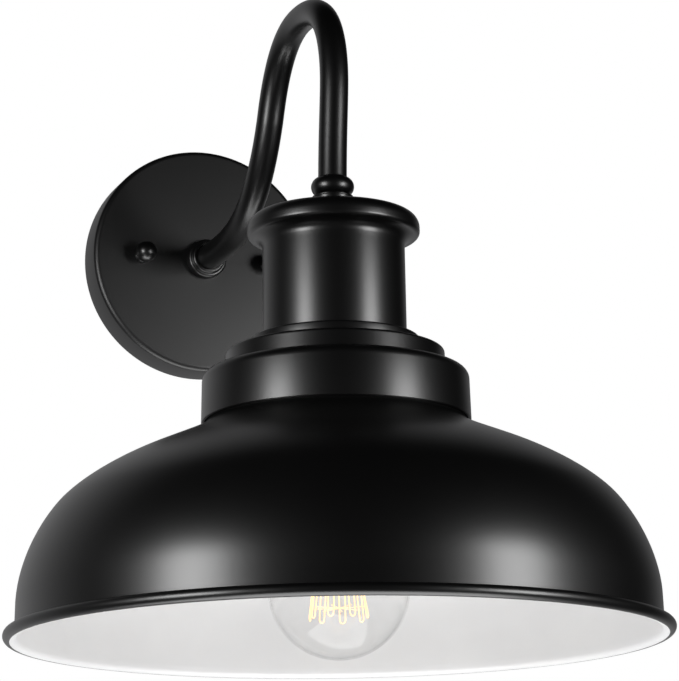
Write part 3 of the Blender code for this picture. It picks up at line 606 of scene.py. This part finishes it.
outside = [(SHADE_HOLE, shade_top)]
outside += arc((SHADE_NECK - 3 * MM, shade_top - 3 * MM), 3 * MM, 90, 0)
outside += bend((SHADE_NECK, NECK_FOOT), (SHADE_NECK + 0.2 * MM, NECK_FOOT - 3.7 * MM),
                along(ROOF, ROOF_SLOPE, -17 * MM), ROOF, 20)
outside += bend(ROOF, along(ROOF, ROOF_SLOPE, 15 * MM), along(SHOULDER, SHOULDER_SLOPE, -12 * MM),
                SHOULDER, 16)[1:]
outside += bend(SHOULDER, along(SHOULDER, SHOULDER_SLOPE, 14 * MM), (SHADE_WALL - 0.2 * MM, 32 * MM),
                (SHADE_WALL - 0.2 * MM, 15 * MM), 16)[1:]
outside += [(SHADE_WALL, 8 * MM), (SHADE_WALL, 5 * MM)]
bead = arc((shade_radius - LIP, LIP), LIP, 152, -100, 20)
heel = [(SHADE_WALL + 0.6 * MM, 0.5 * MM), (SHADE_WALL - 0.4 * MM, 1.1 * MM),
        (SHADE_WALL - SHEET, 2.6 * MM)]
black_strip = outside + bead
white_strip = [bead[-1]] + heel + inset(outside, SHEET)[::-1] + [outside[0]]
work = bmesh.new()
spin(work, black_strip, 192, 0)
spin(work, white_strip, 192, 1)
seal(work)
put(work, "spun_shade", (COAT, ENAMEL), "fixture", ["shade"])

# %% [markdown]
# ## Holder, foot ring and housing
# A stepped cap grips the shade's neck, a thin ring sits on the cap, and the housing stands
# on the ring.  All three are turned.  Every edge gets a small fillet, because a real edge is
# never sharp and the fillet is what catches the light.
# %% Stepped holder and foot ring
band, band_foot, step_top = upright("shade_holder")
ring_radius, ring_foot, ring_top = upright("foot_ring")
STEP = 50.2 * MM
BAND_TOP = 123.4 * MM
HOLDER_HOLE = 19.1 * MM
band_inner = SHADE_NECK + 0.35 * MM
step_inner = STEP - 1.3 * MM
corners = [(HOLDER_HOLE, step_top), (STEP, step_top, 1.4 * MM), (STEP + 0.1 * MM, BAND_TOP, 0.35 * MM),
           (band - 0.55 * MM, BAND_TOP, 4.6 * MM), (band, band_foot, 0.5 * MM),
           (band_inner, band_foot, 0.4 * MM), (band_inner - 0.2 * MM, BAND_TOP - SHEET, 3.8 * MM),
           (step_inner, BAND_TOP - SHEET, 0.3 * MM), (step_inner, step_top - SHEET, 0.4 * MM),
           (HOLDER_HOLE, step_top - SHEET)]
work = turn(rounded(corners, 8), 160)
put(work, "stepped_holder", COAT, "fixture", ["shade_holder"])

RING_HOLE = 28.0 * MM
corners = [(RING_HOLE, ring_top), (ring_radius, ring_top, 0.9 * MM),
           (ring_radius, ring_foot, 0.3 * MM), (RING_HOLE, ring_foot)]
put(turn(rounded(corners), 128), "thin_foot_ring", COAT, "fixture", ["foot_ring"])

# %% Housing with its coved cap
cap_radius, housing_foot, cap_top = upright("housing")
HOUSING_RADIUS = 33.0 * MM
HOUSING_INNER = 31.5 * MM
TUBE_HOLE = 5.3 * MM
CAP_EDGE = 189.6 * MM
EDGE_ROLL = 2.0 * MM
COVE = 5.1 * MM
outline = [(TUBE_HOLE, cap_top), (14 * MM, cap_top)]
outline += arc((cap_radius - 6 * MM, cap_top - 7 * MM), 6 * MM, 88, 0, 12)
outline += arc((cap_radius - EDGE_ROLL, CAP_EDGE), EDGE_ROLL, 0, -90)
outline += arc((cap_radius - EDGE_ROLL, CAP_EDGE - EDGE_ROLL - COVE), COVE, 90, 180, 12)[1:]
outline += rounded([(HOUSING_RADIUS, 180 * MM), (HOUSING_RADIUS + 0.1 * MM, housing_foot, 0.4 * MM),
                    (HOUSING_INNER, housing_foot)])
outline += [(HOUSING_INNER, 192.5 * MM), (HOUSING_INNER - 3 * MM, 195.5 * MM),
            (TUBE_HOLE, cap_top - 1.5 * MM)]
put(turn(outline, 128), "turned_housing", COAT, "fixture", ["housing"])

# %% [markdown]
# ## Spool and bead on the arm's end
# Between the housing and the arm sit a waisted spool and a round bead.  They hide the
# threaded tube, and the arm ends inside the bead's socket.
# %% Spool and bead
_, spool_foot, spool_top = upright("neck_spacer")
outline = [(TUBE_HOLE, spool_top)]
outline += arc((9.25 * MM, spool_top - 0.5 * MM), 0.45 * MM, 80, -50)
outline += bend((9.35 * MM, spool_top - 1.7 * MM), (9.2 * MM, spool_top - 4 * MM),
                (9.3 * MM, spool_foot + 2 * MM), (10.6 * MM, spool_foot), 10)
outline += [(TUBE_HOLE, spool_foot)]
put(turn(outline, 64), "waisted_spool", COAT, "fixture", ["neck_spacer"])

BEAD = 10.05 * MM
BEAD_ROLL = 4.5 * MM
ARM_SOCKET = 7.0 * MM
_, bead_foot, bead_top = upright("arm_bead")
outline = arc((BEAD - BEAD_ROLL, bead_foot + 4.4 * MM), BEAD_ROLL, 72, -64, 16)
outline += [(7.6 * MM, bead_foot), (TUBE_HOLE, bead_foot), (TUBE_HOLE, bead_foot + MM),
            (ARM_SOCKET, bead_foot + MM), (ARM_SOCKET, bead_top)]
put(turn(outline, 80), "round_bead", COAT, "fixture", ["arm_bead"])

# %% [markdown]
# ## The gooseneck
# The arm is a bent tube.  A circle is set square to the start of the route and extruded
# from station to station; at each one it is turned by the change of heading and moved on.
# The route is four cubic bends through five knots, given as the distance out from the wall,
# the height, the heading, and the handle before and after the knot.
# %% Gooseneck arm
ARM_KNOTS = (
    (-221.3 * MM, -20.6 * MM, 0.0, 0.0 * MM, 24.0 * MM),
    (-225.8 * MM, 35.4 * MM, 0.0, 11.6 * MM, 11.6 * MM),
    (-177.4 * MM, 79.7 * MM, 90.0, 45.0 * MM, 33.0 * MM),
    (-130.3 * MM, 42.0 * MM, 151.6, 7.5 * MM, 59.6 * MM),
    (-20.1 * MM, 0.0 * MM, 90.0, 37.6 * MM, 0.0 * MM),
)
ARM_RADIUS = 6.7 * MM


def arm_route(steps):
    """The arm's centreline from the lamp to the plate."""
    route = []
    for first, last in zip(ARM_KNOTS, ARM_KNOTS[1:]):
        leave, arrive = (math.radians(90 - knot[2]) for knot in (first, last))
        first_handle = along(first, leave, first[4])
        last_handle = along(last, arrive, -last[3])
        route += bend(first[:2], first_handle, last_handle, last[:2], steps)[:-1]
    return [Vector((0.0, y, z)) for y, z in route + [ARM_KNOTS[-1][:2]]]


def draw_tube(work, route, radius, sides, closed_ends=True):
    """Extrude a circle along a route, station by station."""
    runs = [(ahead - back).normalized() for back, ahead in zip(route, route[1:])]
    headings = [(before + after).normalized() for before, after in zip(runs, runs[1:])]
    headings = [runs[0], *headings, runs[-1]]
    stand = Vector((0.0, 0.0, 1.0)).rotation_difference(headings[0]).to_matrix().to_4x4()
    older = set(work.edges)
    bmesh.ops.create_circle(work, cap_ends=closed_ends, segments=sides, radius=radius,
                            matrix=Matrix.Translation(route[0]) @ stand)
    rim = [edge for edge in work.edges if edge not in older]
    for here, there, heading, next_heading in zip(route, route[1:], headings, headings[1:]):
        grown = bmesh.ops.extrude_edge_only(work, edges=rim)["geom"]
        dots = [item for item in grown if isinstance(item, bmesh.types.BMVert)]
        rim = [item for item in grown if isinstance(item, bmesh.types.BMEdge)]
        rim = [edge for edge in rim if all(dot in dots for dot in edge.verts)]
        swing = heading.rotation_difference(next_heading).to_matrix()
        bmesh.ops.rotate(work, cent=here, matrix=swing, verts=dots)
        bmesh.ops.translate(work, vec=there - here, verts=dots)
    if closed_ends:
        bmesh.ops.contextual_create(work, geom=rim)
    bmesh.ops.recalc_face_normals(work, faces=work.faces)


work = bmesh.new()
draw_tube(work, arm_route(28), ARM_RADIUS, 48, closed_ends=False)
arm = put(work, "bent_arm", COAT, "fixture", ["gooseneck_arm"], Matrix.Identity(4))
bore = arm.modifiers.new("tube_wall", "SOLIDIFY")
bore.thickness = 1.2 * MM
bore.offset = -1.0

# %% [markdown]
# ## The wall plate
# The plate is a pressed cup with a soft edge.  A stepped collar covers the arm's end, and a
# ball nut on each side pulls the plate against the wall.  The stud holes are drilled with a
# Boolean and the result is kept as plain mesh.
# %% Plate, collar and ball nuts
plate_radius, _, plate_front = outward("wall_plate")
stud_left = on_plate("ball_nut_left").translation.x
PLATE_EDGE = 2.8 * MM
STUD_HOLE = 2.3 * MM


def carved(work, cutter, overlapping=False):
    """Take one bmesh's shape out of another; its pieces may overlap each other."""
    pair = []
    for word, shape in (("blank", work), ("cutter", cutter)):
        mesh = bpy.data.meshes.new(word)
        shape.to_mesh(mesh)
        shape.free()
        item = bpy.data.objects.new(word, mesh)
        bpy.context.scene.collection.objects.link(item)
        pair.append(item)
    cut = pair[0].modifiers.new("cut", "BOOLEAN")
    cut.object = pair[1]
    cut.solver = "EXACT"
    cut.use_self = overlapping
    result = bmesh.new()
    view = bpy.context.evaluated_depsgraph_get()
    result.from_mesh(pair[0].evaluated_get(view).to_mesh())
    for item in pair:
        bpy.data.objects.remove(item, do_unlink=True)
    return result


def drilled(work, holes, depth):
    """Cut round holes, each given as (place, radius), through a bmesh along its local Z."""
    drills = bmesh.new()
    for place, radius in holes:
        bmesh.ops.create_cone(drills, cap_ends=True, segments=40, radius1=radius,
                              radius2=radius, depth=depth, matrix=Matrix.Translation(place))
    return carved(work, drills, overlapping=True)


corners = [(TUBE_HOLE, plate_front), (plate_radius - 0.3 * MM, plate_front, PLATE_EDGE),
           (plate_radius, 0.0, 0.3 * MM), (plate_radius - SHEET, 0.0, 0.3 * MM),
           (plate_radius - 0.3 * MM - SHEET, plate_front - SHEET, PLATE_EDGE - SHEET),
           (TUBE_HOLE, plate_front - SHEET)]
holes = [((side * stud_left, 0.0, plate_front), STUD_HOLE) for side in (-1, 1)]
work = drilled(turn(rounded(corners, 8), 160), holes, 5 * MM)
put(work, "pressed_plate", PLATE_COAT, "fixture", ["wall_plate"], OUT)

collar_radius, collar_back, collar_front = outward("plate_collar")
collar_step = collar_back + 5.1 * MM
COLLAR_NECK = 8.8 * MM
corners = [(ARM_SOCKET, collar_front), (COLLAR_NECK, collar_front, 1.1 * MM),
           (COLLAR_NECK, collar_step, 0.4 * MM), (collar_radius, collar_step, 1.4 * MM),
           (collar_radius, collar_back, 0.3 * MM), (ARM_SOCKET, collar_back)]
work = turn(rounded(corners, 8), 96)
put(work, "stepped_collar", COAT, "fixture", ["plate_collar"], OUT)

NUT_FOOT = 4.2 * MM
for word in ("left", "right"):
    node = f"ball_nut_{word}"
    ball, seat, tip = outward(node)
    outline = arc((0.0, tip - ball), ball, 90, -46, 20)
    outline[0] = (0.0, tip)
    outline += rounded([(3.7 * MM, seat + 2.2 * MM, 0.3 * MM), (NUT_FOOT, seat + 0.8 * MM, 0.2 * MM),
                        (NUT_FOOT, seat), (STUD_HOLE, seat)])
    outline += [(STUD_HOLE, tip - 5.1 * MM), (0.0, tip - 4.6 * MM)]
    put(turn(outline, 48), f"round_nut_{word}", COAT, f"{word}_ball_nut",
        [node], on_plate(node))

# %% [markdown]
# ## Behind the plate
# The mounting strap is stamped from flat bar: a box whose upright edges are beveled into
# round corners, with its holes and screw slots cut through.  The foam seal is a plain ring,
# the studs are rolled with an M4 thread, and the threaded tube is M10 by 1.
# %% Seal and strap
seal_radius, seal_back, seal_front = outward("wall_seal")
SEAL_WIDTH = 7.5 * MM
seal_inner = seal_radius - SEAL_WIDTH
corners = [(seal_inner, seal_front), (seal_radius, seal_front, 0.6 * MM),
           (seal_radius, seal_back), (seal_inner, seal_back)]
put(turn(rounded(corners), 128), "foam_seal", FOAM, "fixture", ["wall_seal"], OUT)


def flat_bar(size, corner, edge):
    """A bar with round corners in plan and slightly broken edges."""
    work = bmesh.new()
    bmesh.ops.create_cube(work, size=1.0)
    bmesh.ops.scale(work, vec=size, verts=work.verts)

    def stands(line):
        return abs(line.verts[0].co.z - line.verts[1].co.z) > size[2] / 2

    bmesh.ops.bevel(work, geom=[line for line in work.edges if stands(line)], offset=corner,
                    segments=8, profile=0.5, affect="EDGES", material=-1)
    bmesh.ops.bevel(work, geom=[line for line in work.edges if not stands(line)], offset=edge,
                    segments=2, profile=0.5, affect="EDGES", material=-1)
    return work


bar_low, bar_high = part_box("crossbar")
bar_size = (bar_high[0] - bar_low[0], bar_high[2] - bar_low[2], bar_high[1] - bar_low[1])
earth_x = on_plate("ground_screw").translation.x
SLOT_X = 44
SLOT_HALF = 0.7
holes = [((side * stud_left, 0.0, 0.0), STUD_HOLE) for side in (-1, 1)]
holes += [((0.0, 0.0, 0.0), 6 * MM), ((earth_x, 0.0, 0.0), 1.9 * MM)]
for side in (-1, 1):
    holes += [((side * SLOT_X * MM + step * MM, 0.0, 0.0), STUD_HOLE)
              for step in (-SLOT_HALF, 0.0, SLOT_HALF)]
work = drilled(flat_bar(bar_size, 3 * MM, 0.25 * MM), holes, 8 * MM)
bmesh.ops.translate(work, vec=(0.0, 0.0, bar_size[2] / 2), verts=work.verts)
put(work, "mounting_strap", ZINC, "fixture", ["crossbar"], OUT)

# %% Studs, nuts and washers
def add_bmesh(work, other):
    """Add a second bmesh's shape to the first."""
    carrier = bpy.data.meshes.new("carrier")
    other.to_mesh(carrier)
    other.free()
    work.from_mesh(carrier)
    bpy.data.meshes.remove(carrier)


def hex_nut(name, node, bore, pitch, place):
    """A chamfered hexagon nut with a threaded bore."""
    half_flats, foot, top = upright(node) if place is LAMP else outward(node)
    tall = 2 * half_flats / math.sqrt(3)
    chamfer = 0.12 * (top - foot)
    work = bmesh.new()
    spin(work, [(bore, foot), (tall * 0.93, foot), (tall, foot + chamfer), (tall, top - chamfer),
                (tall * 0.93, top), (bore, top)], 48)
    for vert in work.verts:
        radius = math.hypot(vert.co.x, vert.co.y)
        angle = math.atan2(vert.co.y, vert.co.x) + math.radians(30)
        folded = abs((angle % math.radians(60)) - math.radians(30))
        if radius > bore * 1.05:
            vert.co.xy *= min(1.0, half_flats / math.cos(folded) / radius)
    inside = bmesh.new()
    spin(inside, wall(bore, top, foot, 40), 48)
    roll_thread(inside, foot, top, pitch, -0.3 * pitch, fade=0.3 * pitch)
    add_bmesh(work, inside)
    seal(work)
    put(work, name, ZINC, "fixture", [node], place)


def threaded_rod(radius, foot, top, pitch, around, bore=0.0):
    """A rod or tube with chamfered ends and a rolled thread, eight rings to a turn of it."""
    chamfer = 0.3 * MM
    rings = round((top - foot) / pitch * 8)
    outline = [(bore, top), (radius - chamfer, top)]
    outline += wall(radius, top - chamfer, foot + chamfer, rings)
    outline += [(radius - chamfer, foot), (bore, foot)]
    work = turn(outline, around)
    roll_thread(work, foot + chamfer, top - chamfer, pitch, 0.55 * pitch, inner=radius * 0.97)
    return work


M4_PITCH = 0.7 * MM
for word in ("left", "right"):
    stud, nut = f"stud_{word}", f"stud_nut_{word}"
    work = threaded_rod(*outward(stud), M4_PITCH, 28)
    put(work, f"threaded_stud_{word}", ZINC, "fixture", [stud], on_plate(stud))
    hex_nut(f"strap_nut_{word}", nut, STUD_HOLE, M4_PITCH, on_plate(nut))

M10_PITCH = 1.0 * MM
TUBE_BORE = 3.9 * MM
work = threaded_rod(*outward("plate_nipple"), M10_PITCH, 48, TUBE_BORE)
put(work, "plate_tube", ZINC, "fixture", ["plate_nipple"], OUT)
work = threaded_rod(*upright("lamp_nipple"), M10_PITCH, 48, TUBE_BORE)
put(work, "lamp_tube", ZINC, "fixture", ["lamp_nipple"])
hex_nut("plate_nut", "plate_lock_nut", TUBE_HOLE, M10_PITCH, OUT)
hex_nut("lamp_nut", "lamp_lock_nut", TUBE_HOLE, M10_PITCH, LAMP)
hex_nut("strap_tube_nut", "stirrup_nut", TUBE_HOLE, M10_PITCH, LAMP)


def lock_washer(name, node, place, low, high):
    """A washer whose rim is broken by radial teeth."""
    corners = [(TUBE_HOLE, high), (9 * MM, high, 0.15 * MM), (9 * MM, low, 0.15 * MM),
               (TUBE_HOLE, low)]
    work = turn(rounded(corners, 3), 96)
    press_grips(work, 16, 0.7 * MM, 8.6 * MM, 6)
    put(work, name, ZINC, "fixture", [node], place)


lock_washer("plate_washer", "plate_lock_washer", OUT, *outward("plate_lock_washer")[1:])
lock_washer("lamp_washer", "lamp_lock_washer", LAMP, *upright("lamp_lock_washer")[1:])

# %% Earth screw
screw_radius, screw_back, screw_front = outward("ground_screw")
SHANK = 1.6 * MM
HEAD = 3.0 * MM
dimple, flange_step, under_head = (screw_front - drop * MM for drop in (0.5, 1.7, 2.6))
outline = rounded([(0.0, dimple), (1.2 * MM, dimple), (1.3 * MM, screw_front),
                   (HEAD, screw_front, 0.4 * MM), (HEAD, flange_step),
                   (screw_radius, flange_step, 0.25 * MM), (screw_radius, under_head, 0.2 * MM),
                   (SHANK, under_head)])
outline += wall(SHANK, under_head - 0.1 * MM, screw_back + 0.1 * MM, 24)
outline += [(1.2 * MM, screw_back), (0.0, screw_back)]
work = turn(outline, 48)
roll_thread(work, screw_back, under_head - 0.1 * MM, M4_PITCH, 0.3 * MM, inner=1.0 * MM)
put(work, "earth_screw_fine", GREEN, "earth_screw", ["ground_screw"],
    on_plate("ground_screw"))

# %% [markdown]
# ## Lampholder and clamp ring
# The porcelain body has a threaded skirt for the clamp ring, a flange that the shade is
# pulled against, and seats for the terminal screws.  Inside sits the brass screw shell,
# rolled to the coarse lamp thread of seven turns to the inch.
# %% Porcelain body
flange, mouth, body_top = upright("socket_body")
SOCKET = 18.5 * MM
SKIRT = 20.2 * MM
SOCKET_BORE = 14.8 * MM
CEILING = 138.0 * MM
SCREW_Z = 141.5 * MM
flange_foot = shade_top + 0.3 * MM
flange_top = step_top - SHEET - 0.3 * MM
thread_foot = mouth + 1.2 * MM
thread_top = flange_foot - 0.6 * MM
outline = rounded([(0.0, body_top), (SOCKET, body_top, 2.4 * MM), (SOCKET, flange_top),
                   (flange, flange_top, 0.8 * MM), (flange, flange_foot, 0.6 * MM),
                   (SKIRT, flange_foot)], 6)
outline += wall(SKIRT, thread_top, thread_foot, 64)
outline += rounded([(SKIRT - 0.1 * MM, mouth + 1.1 * MM), (SKIRT - 0.5 * MM, mouth, 0.4 * MM),
                    (SOCKET_BORE + 0.4 * MM, mouth, 0.4 * MM), (SOCKET_BORE, mouth + 2 * MM),
                    (SOCKET_BORE, CEILING), (0.0, CEILING)])[1:]
work = turn(outline, 96)
roll_thread(work, thread_foot, thread_top, 2.2 * MM, 1.0 * MM, inner=SKIRT * 0.98)
blocks = bmesh.new()
for side in (-1, 1):
    bmesh.ops.create_cube(blocks, size=1.0, matrix=Matrix.Translation((0.0, side * 19.5 * MM, SCREW_Z))
                          @ Matrix.Diagonal((10 * MM, 7 * MM, 11 * MM, 1.0)))
put(carved(work, blocks), "porcelain_body", PORCELAIN, "fixture", ["socket_body"])

# %% Clamp ring and screw shell
clamp_radius, clamp_foot, clamp_top = upright("shade_ring")
outline = [(SKIRT + 0.3 * MM, clamp_top), (clamp_radius - 0.4 * MM, clamp_top)]
outline += wall(clamp_radius, clamp_top - 0.4 * MM, clamp_foot + 1.0 * MM, 6)
outline += [(clamp_radius - 1.0 * MM, clamp_foot), (SKIRT + 0.8 * MM, clamp_foot)]
outline += wall(SKIRT + 0.3 * MM, clamp_foot + 0.5 * MM, clamp_top - 0.2 * MM, 36)
work = turn(outline, 200)
press_grips(work, 10, 1.1 * MM, clamp_radius - 1.5 * MM, 6)
put(work, "moulded_clamp_ring", PHENOLIC, "clamp_ring", ["shade_ring"])

LAMP_PITCH = 25.4 / 7 * MM
shell_radius, shell_foot, shell_top = upright("socket_shell")
outline = [(9 * MM, shell_top), (shell_radius - 0.8 * MM, shell_top)]
outline += wall(shell_radius, shell_top - 0.8 * MM, shell_foot, 84)
outline += wall(shell_radius - 0.6 * MM, shell_foot, shell_top - 1.2 * MM, 84)
outline += [(9 * MM, shell_top - 0.6 * MM)]
work = turn(outline, 72)
roll_thread(work, shell_foot + 1.5 * MM, shell_top - 1.5 * MM, LAMP_PITCH, 0.5 * MM, inner=12 * MM)
put(work, "brass_screw_shell", BRASS, "fixture", ["socket_shell"])

# %% [markdown]
# ## The bulb
# The glass is blown to a pear with a long neck; its cap is rolled thin metal with the same
# coarse thread as the shell.  Inside, a glass stem carries one long wire that runs up and
# down in a cage, held at its bends by short hooks.
# %% Glass envelope and stem
bulb_radius, bulb_tip, bulb_high = upright("bulb_glass")
GLASS_WALL = 0.7 * MM
SWELL = (18.0 * MM, 82.0 * MM)
centre = bulb_tip + bulb_radius
skin = [(11.4 * MM, bulb_high)]
skin += bend((11.5 * MM, 106 * MM), (11.6 * MM, 100 * MM), (15.2 * MM, 92 * MM), SWELL, 12)
skin += bend(SWELL, (23.0 * MM, 64.5 * MM), (bulb_radius, 48 * MM), (bulb_radius, centre), 20)[1:]
skin += arc((0.0, centre), bulb_radius, 0, -90, 28)[1:]
skin[-1] = (0.0, bulb_tip)
inner = inset(skin, GLASS_WALL)
inner[-1] = (0.0, bulb_tip + GLASS_WALL)
work = turn(inner[::-1] + skin, 128)
put(work, "blown_glass", GLASS, "bulb", ["bulb_glass"], sharp=50)

stem_radius, stem_foot, stem_top = upright("bulb_stem")
STEM = 4.2 * MM
ROD = 1.1 * MM
KNOB = 2.3 * MM
outline = [(0.0, stem_top), (stem_radius, stem_top), (stem_radius, stem_top - 0.8 * MM)]
outline += bend((9.4 * MM, stem_top - 2.4 * MM), (6 * MM, 107 * MM), (STEM, 103 * MM),
                (STEM, 96 * MM), 10)
outline += bend((STEM, 86 * MM), (4.1 * MM, 80 * MM), (ROD, 79 * MM), (ROD, 73 * MM), 10)
outline += [(ROD, 17 * MM)] + arc((0.0, stem_foot + KNOB), KNOB, 55, -90, 10)
outline[-1] = (0.0, stem_foot)
put(turn(outline, 48), "glass_stem", GLASS, "bulb", ["bulb_stem"], sharp=50)

# %% Cage filament
CAGE_TOP = 6.5 * MM
CAGE_FOOT = 13.5 * MM
CAGE_LOW = 10 * MM
CAGE_HIGH = 70 * MM
CAGE_ENDS = 16
CAGE_STEP = math.radians(340) / CAGE_ENDS


def cage_route():
    """The wire's route, with a round bend at each end."""
    route = []
    for index in range(CAGE_ENDS):
        top = index % 2 == 0
        radius = CAGE_TOP if top else CAGE_FOOT
        height = CAGE_HIGH if top else CAGE_LOW
        sign = -1 if top else 1
        for step in range(7):
            swing = math.radians(-90 + 180 * step / 6)
            angle = (index + 0.26 * math.sin(swing)) * CAGE_STEP
            lift = 1.5 * MM * sign * (1 - math.cos(swing))
            x, y = radius * math.cos(angle), radius * math.sin(angle)
            route.append(Vector((x, y, height + lift)))
    return route


def hooks(work, height, radius, first):
    """Short wires from the glass rod out to every second bend."""
    for index in range(first, CAGE_ENDS, 2):
        angle = index * CAGE_STEP
        ahead = Vector((math.cos(angle), math.sin(angle), 0.0))
        root = ahead * 0.6 * MM + Vector((0.0, 0.0, height))
        tip = ahead * radius + Vector((0.0, 0.0, height))
        draw_tube(work, [root, (root + tip) / 2, tip], 0.11 * MM, 8)


work = bmesh.new()
draw_tube(work, cage_route(), 0.24 * MM, 10)
hooks(work, 15.2 * MM, CAGE_FOOT - 0.9 * MM, 1)
hooks(work, 69.2 * MM, CAGE_TOP, 0)
for end, side in ((0, 1), (-1, -1)):
    start = cage_route()[end]
    root = Vector((1.4 * side * MM, 0.0, 82 * MM))
    draw_tube(work, [start, (start + root) / 2 + Vector((0, 0, 3 * MM)), root], 0.2 * MM, 8)
put(work, "cage_filament", HOT_WIRE, "bulb", ["bulb_filament"], sharp=60)

# %% Bulb cap, insulator and contact
cap_wide, cap_foot, cap_high = upright("bulb_cap")
CAP_ROOT = 12.45 * MM
CAP_INNER = 11.9 * MM
CAP_THREAD = (109.6 * MM, 125.4 * MM)
outline = [(9.8 * MM, cap_high)] + arc((9.8 * MM, 125.6 * MM), 2.6 * MM, 80, 8, 8)
outline += wall(CAP_ROOT + 0.6 * MM, *CAP_THREAD[::-1], 96)
outline += rounded([(CAP_ROOT, 109.3 * MM), (cap_wide, 108.3 * MM, 0.5 * MM),
                    (cap_wide, cap_foot, 0.3 * MM), (CAP_INNER, cap_foot)])[1:]
outline += [(CAP_INNER, 125.5 * MM), (9.3 * MM, 127.7 * MM)]
work = turn(outline, 96)
roll_thread(work, *CAP_THREAD, LAMP_PITCH, 0.6 * MM, inner=12.2 * MM)
put(work, "rolled_cap", NICKEL, "bulb", ["bulb_cap"])

GLASS_TOP = 131 * MM
GLASS_FOOT = 127 * MM
corners = [(3.3 * MM, GLASS_TOP), (5.4 * MM, GLASS_TOP, 0.5 * MM), (8.9 * MM, 128.8 * MM, 0.4 * MM),
           (8.9 * MM, GLASS_FOOT), (3.3 * MM, GLASS_FOOT)]
work = turn(rounded(corners), 64)
put(work, "glass_insulator", BLACK_GLASS, "bulb", ["bulb_insulator"])

contact_wide, contact_foot, contact_top = upright("bulb_contact")
button_foot = contact_top - 0.7 * MM
outline = [(0.0, contact_top)]
outline += bend((1.2 * MM, contact_top - 0.02 * MM), (2.9 * MM, contact_top - 0.05 * MM),
                (contact_wide, contact_top - 0.3 * MM), (contact_wide, button_foot), 8)
outline += [(2.9 * MM, button_foot), (2.9 * MM, contact_foot), (0.0, contact_foot)]
put(turn(outline, 48), "solder_contact", ZINC, "bulb_tip", ["bulb_contact"])

# %% [markdown]
# ## Wire nuts and leads
# The wire nuts are moulded plastic with ribs that the fingers grip.  The leads keep the
# frame's route; their loose triangles are merged and a Subdivision makes them round.
# %% Wire nuts and soft leads
for word in ("dark", "light"):
    low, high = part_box(f"wire_nut_{word}")
    place = Matrix.Translation(((low[0] + high[0]) / 2, (low[1] + high[1]) / 2, low[2]))
    nut_radius = (high[0] - low[0]) / 2
    tall = high[2] - low[2]
    outline = rounded([(0.0, tall), (3.6 * MM, tall - 0.2 * MM, 0.9 * MM), (4.4 * MM, 10 * MM)])
    outline += wall(4.5 * MM, 9.8 * MM, 2.4 * MM, 6)
    outline += rounded([(nut_radius, 2.2 * MM, 0.3 * MM), (nut_radius, 0.0, 0.3 * MM),
                        (1.7 * MM, 0.0), (1.7 * MM, 2.5 * MM), (0.0, 2.5 * MM)])
    work = turn(outline, 96)
    for vert in work.verts:
        if 3 * MM < vert.co.z < tall - 2 * MM:
            ribs = 0.5 + 0.5 * math.cos(12 * math.atan2(vert.co.y, vert.co.x))
            vert.co.xy *= 1 - 0.09 * ribs
    put(work, f"ribbed_nut_{word}", NUT_PLASTIC, "fixture",
        [f"wire_nut_{word}"], place)


def soft_lead(node, name, finish):
    """The frame's own route, merged, rounded and no thicker than before."""
    work = bmesh.new()
    source = bpy.data.objects[node]
    work.from_mesh(source.data)
    work.transform(source.matrix_world)
    bmesh.ops.remove_doubles(work, verts=work.verts, dist=0.01 * MM)
    bmesh.ops.dissolve_limit(work, angle_limit=math.radians(1), verts=work.verts, edges=work.edges)
    bmesh.ops.recalc_face_normals(work, faces=work.faces)
    lead = put(work, name, finish, "fixture", [node], Matrix.Identity(4), sharp=70)
    smooth = lead.modifiers.new("smooth", "SUBSURF")
    smooth.levels = 2
    smooth.render_levels = 2


soft_lead("lead_dark", "dark_lead", DARK_SLEEVE)
soft_lead("lead_light", "light_lead", LIGHT_SLEEVE)
soft_lead("lead_earth", "earth_lead", COPPER)

# %% [markdown]
# ## Small parts kept from the frame
# The strap that hangs the lampholder, its screws and the spring tongue sit out of sight, so
# the frame's own solids stay and only take a finish.
# %% Kept solids
KEPT = {
    "socket_stirrup": ZINC, "stirrup_screw_left": ZINC, "stirrup_screw_right": ZINC,
    "terminal_screw_brass": BRASS, "terminal_screw_silver": ZINC, "contact_tongue": BRASS,
}
for node, finish in KEPT.items():
    solid = bpy.data.objects[node]
    solid.data.materials.clear()
    solid.data.materials.append(finish)
    print("kept", node)

low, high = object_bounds()
print("size", [round((b - a) * 1000, 1) for a, b in zip(low, high)], "mm")
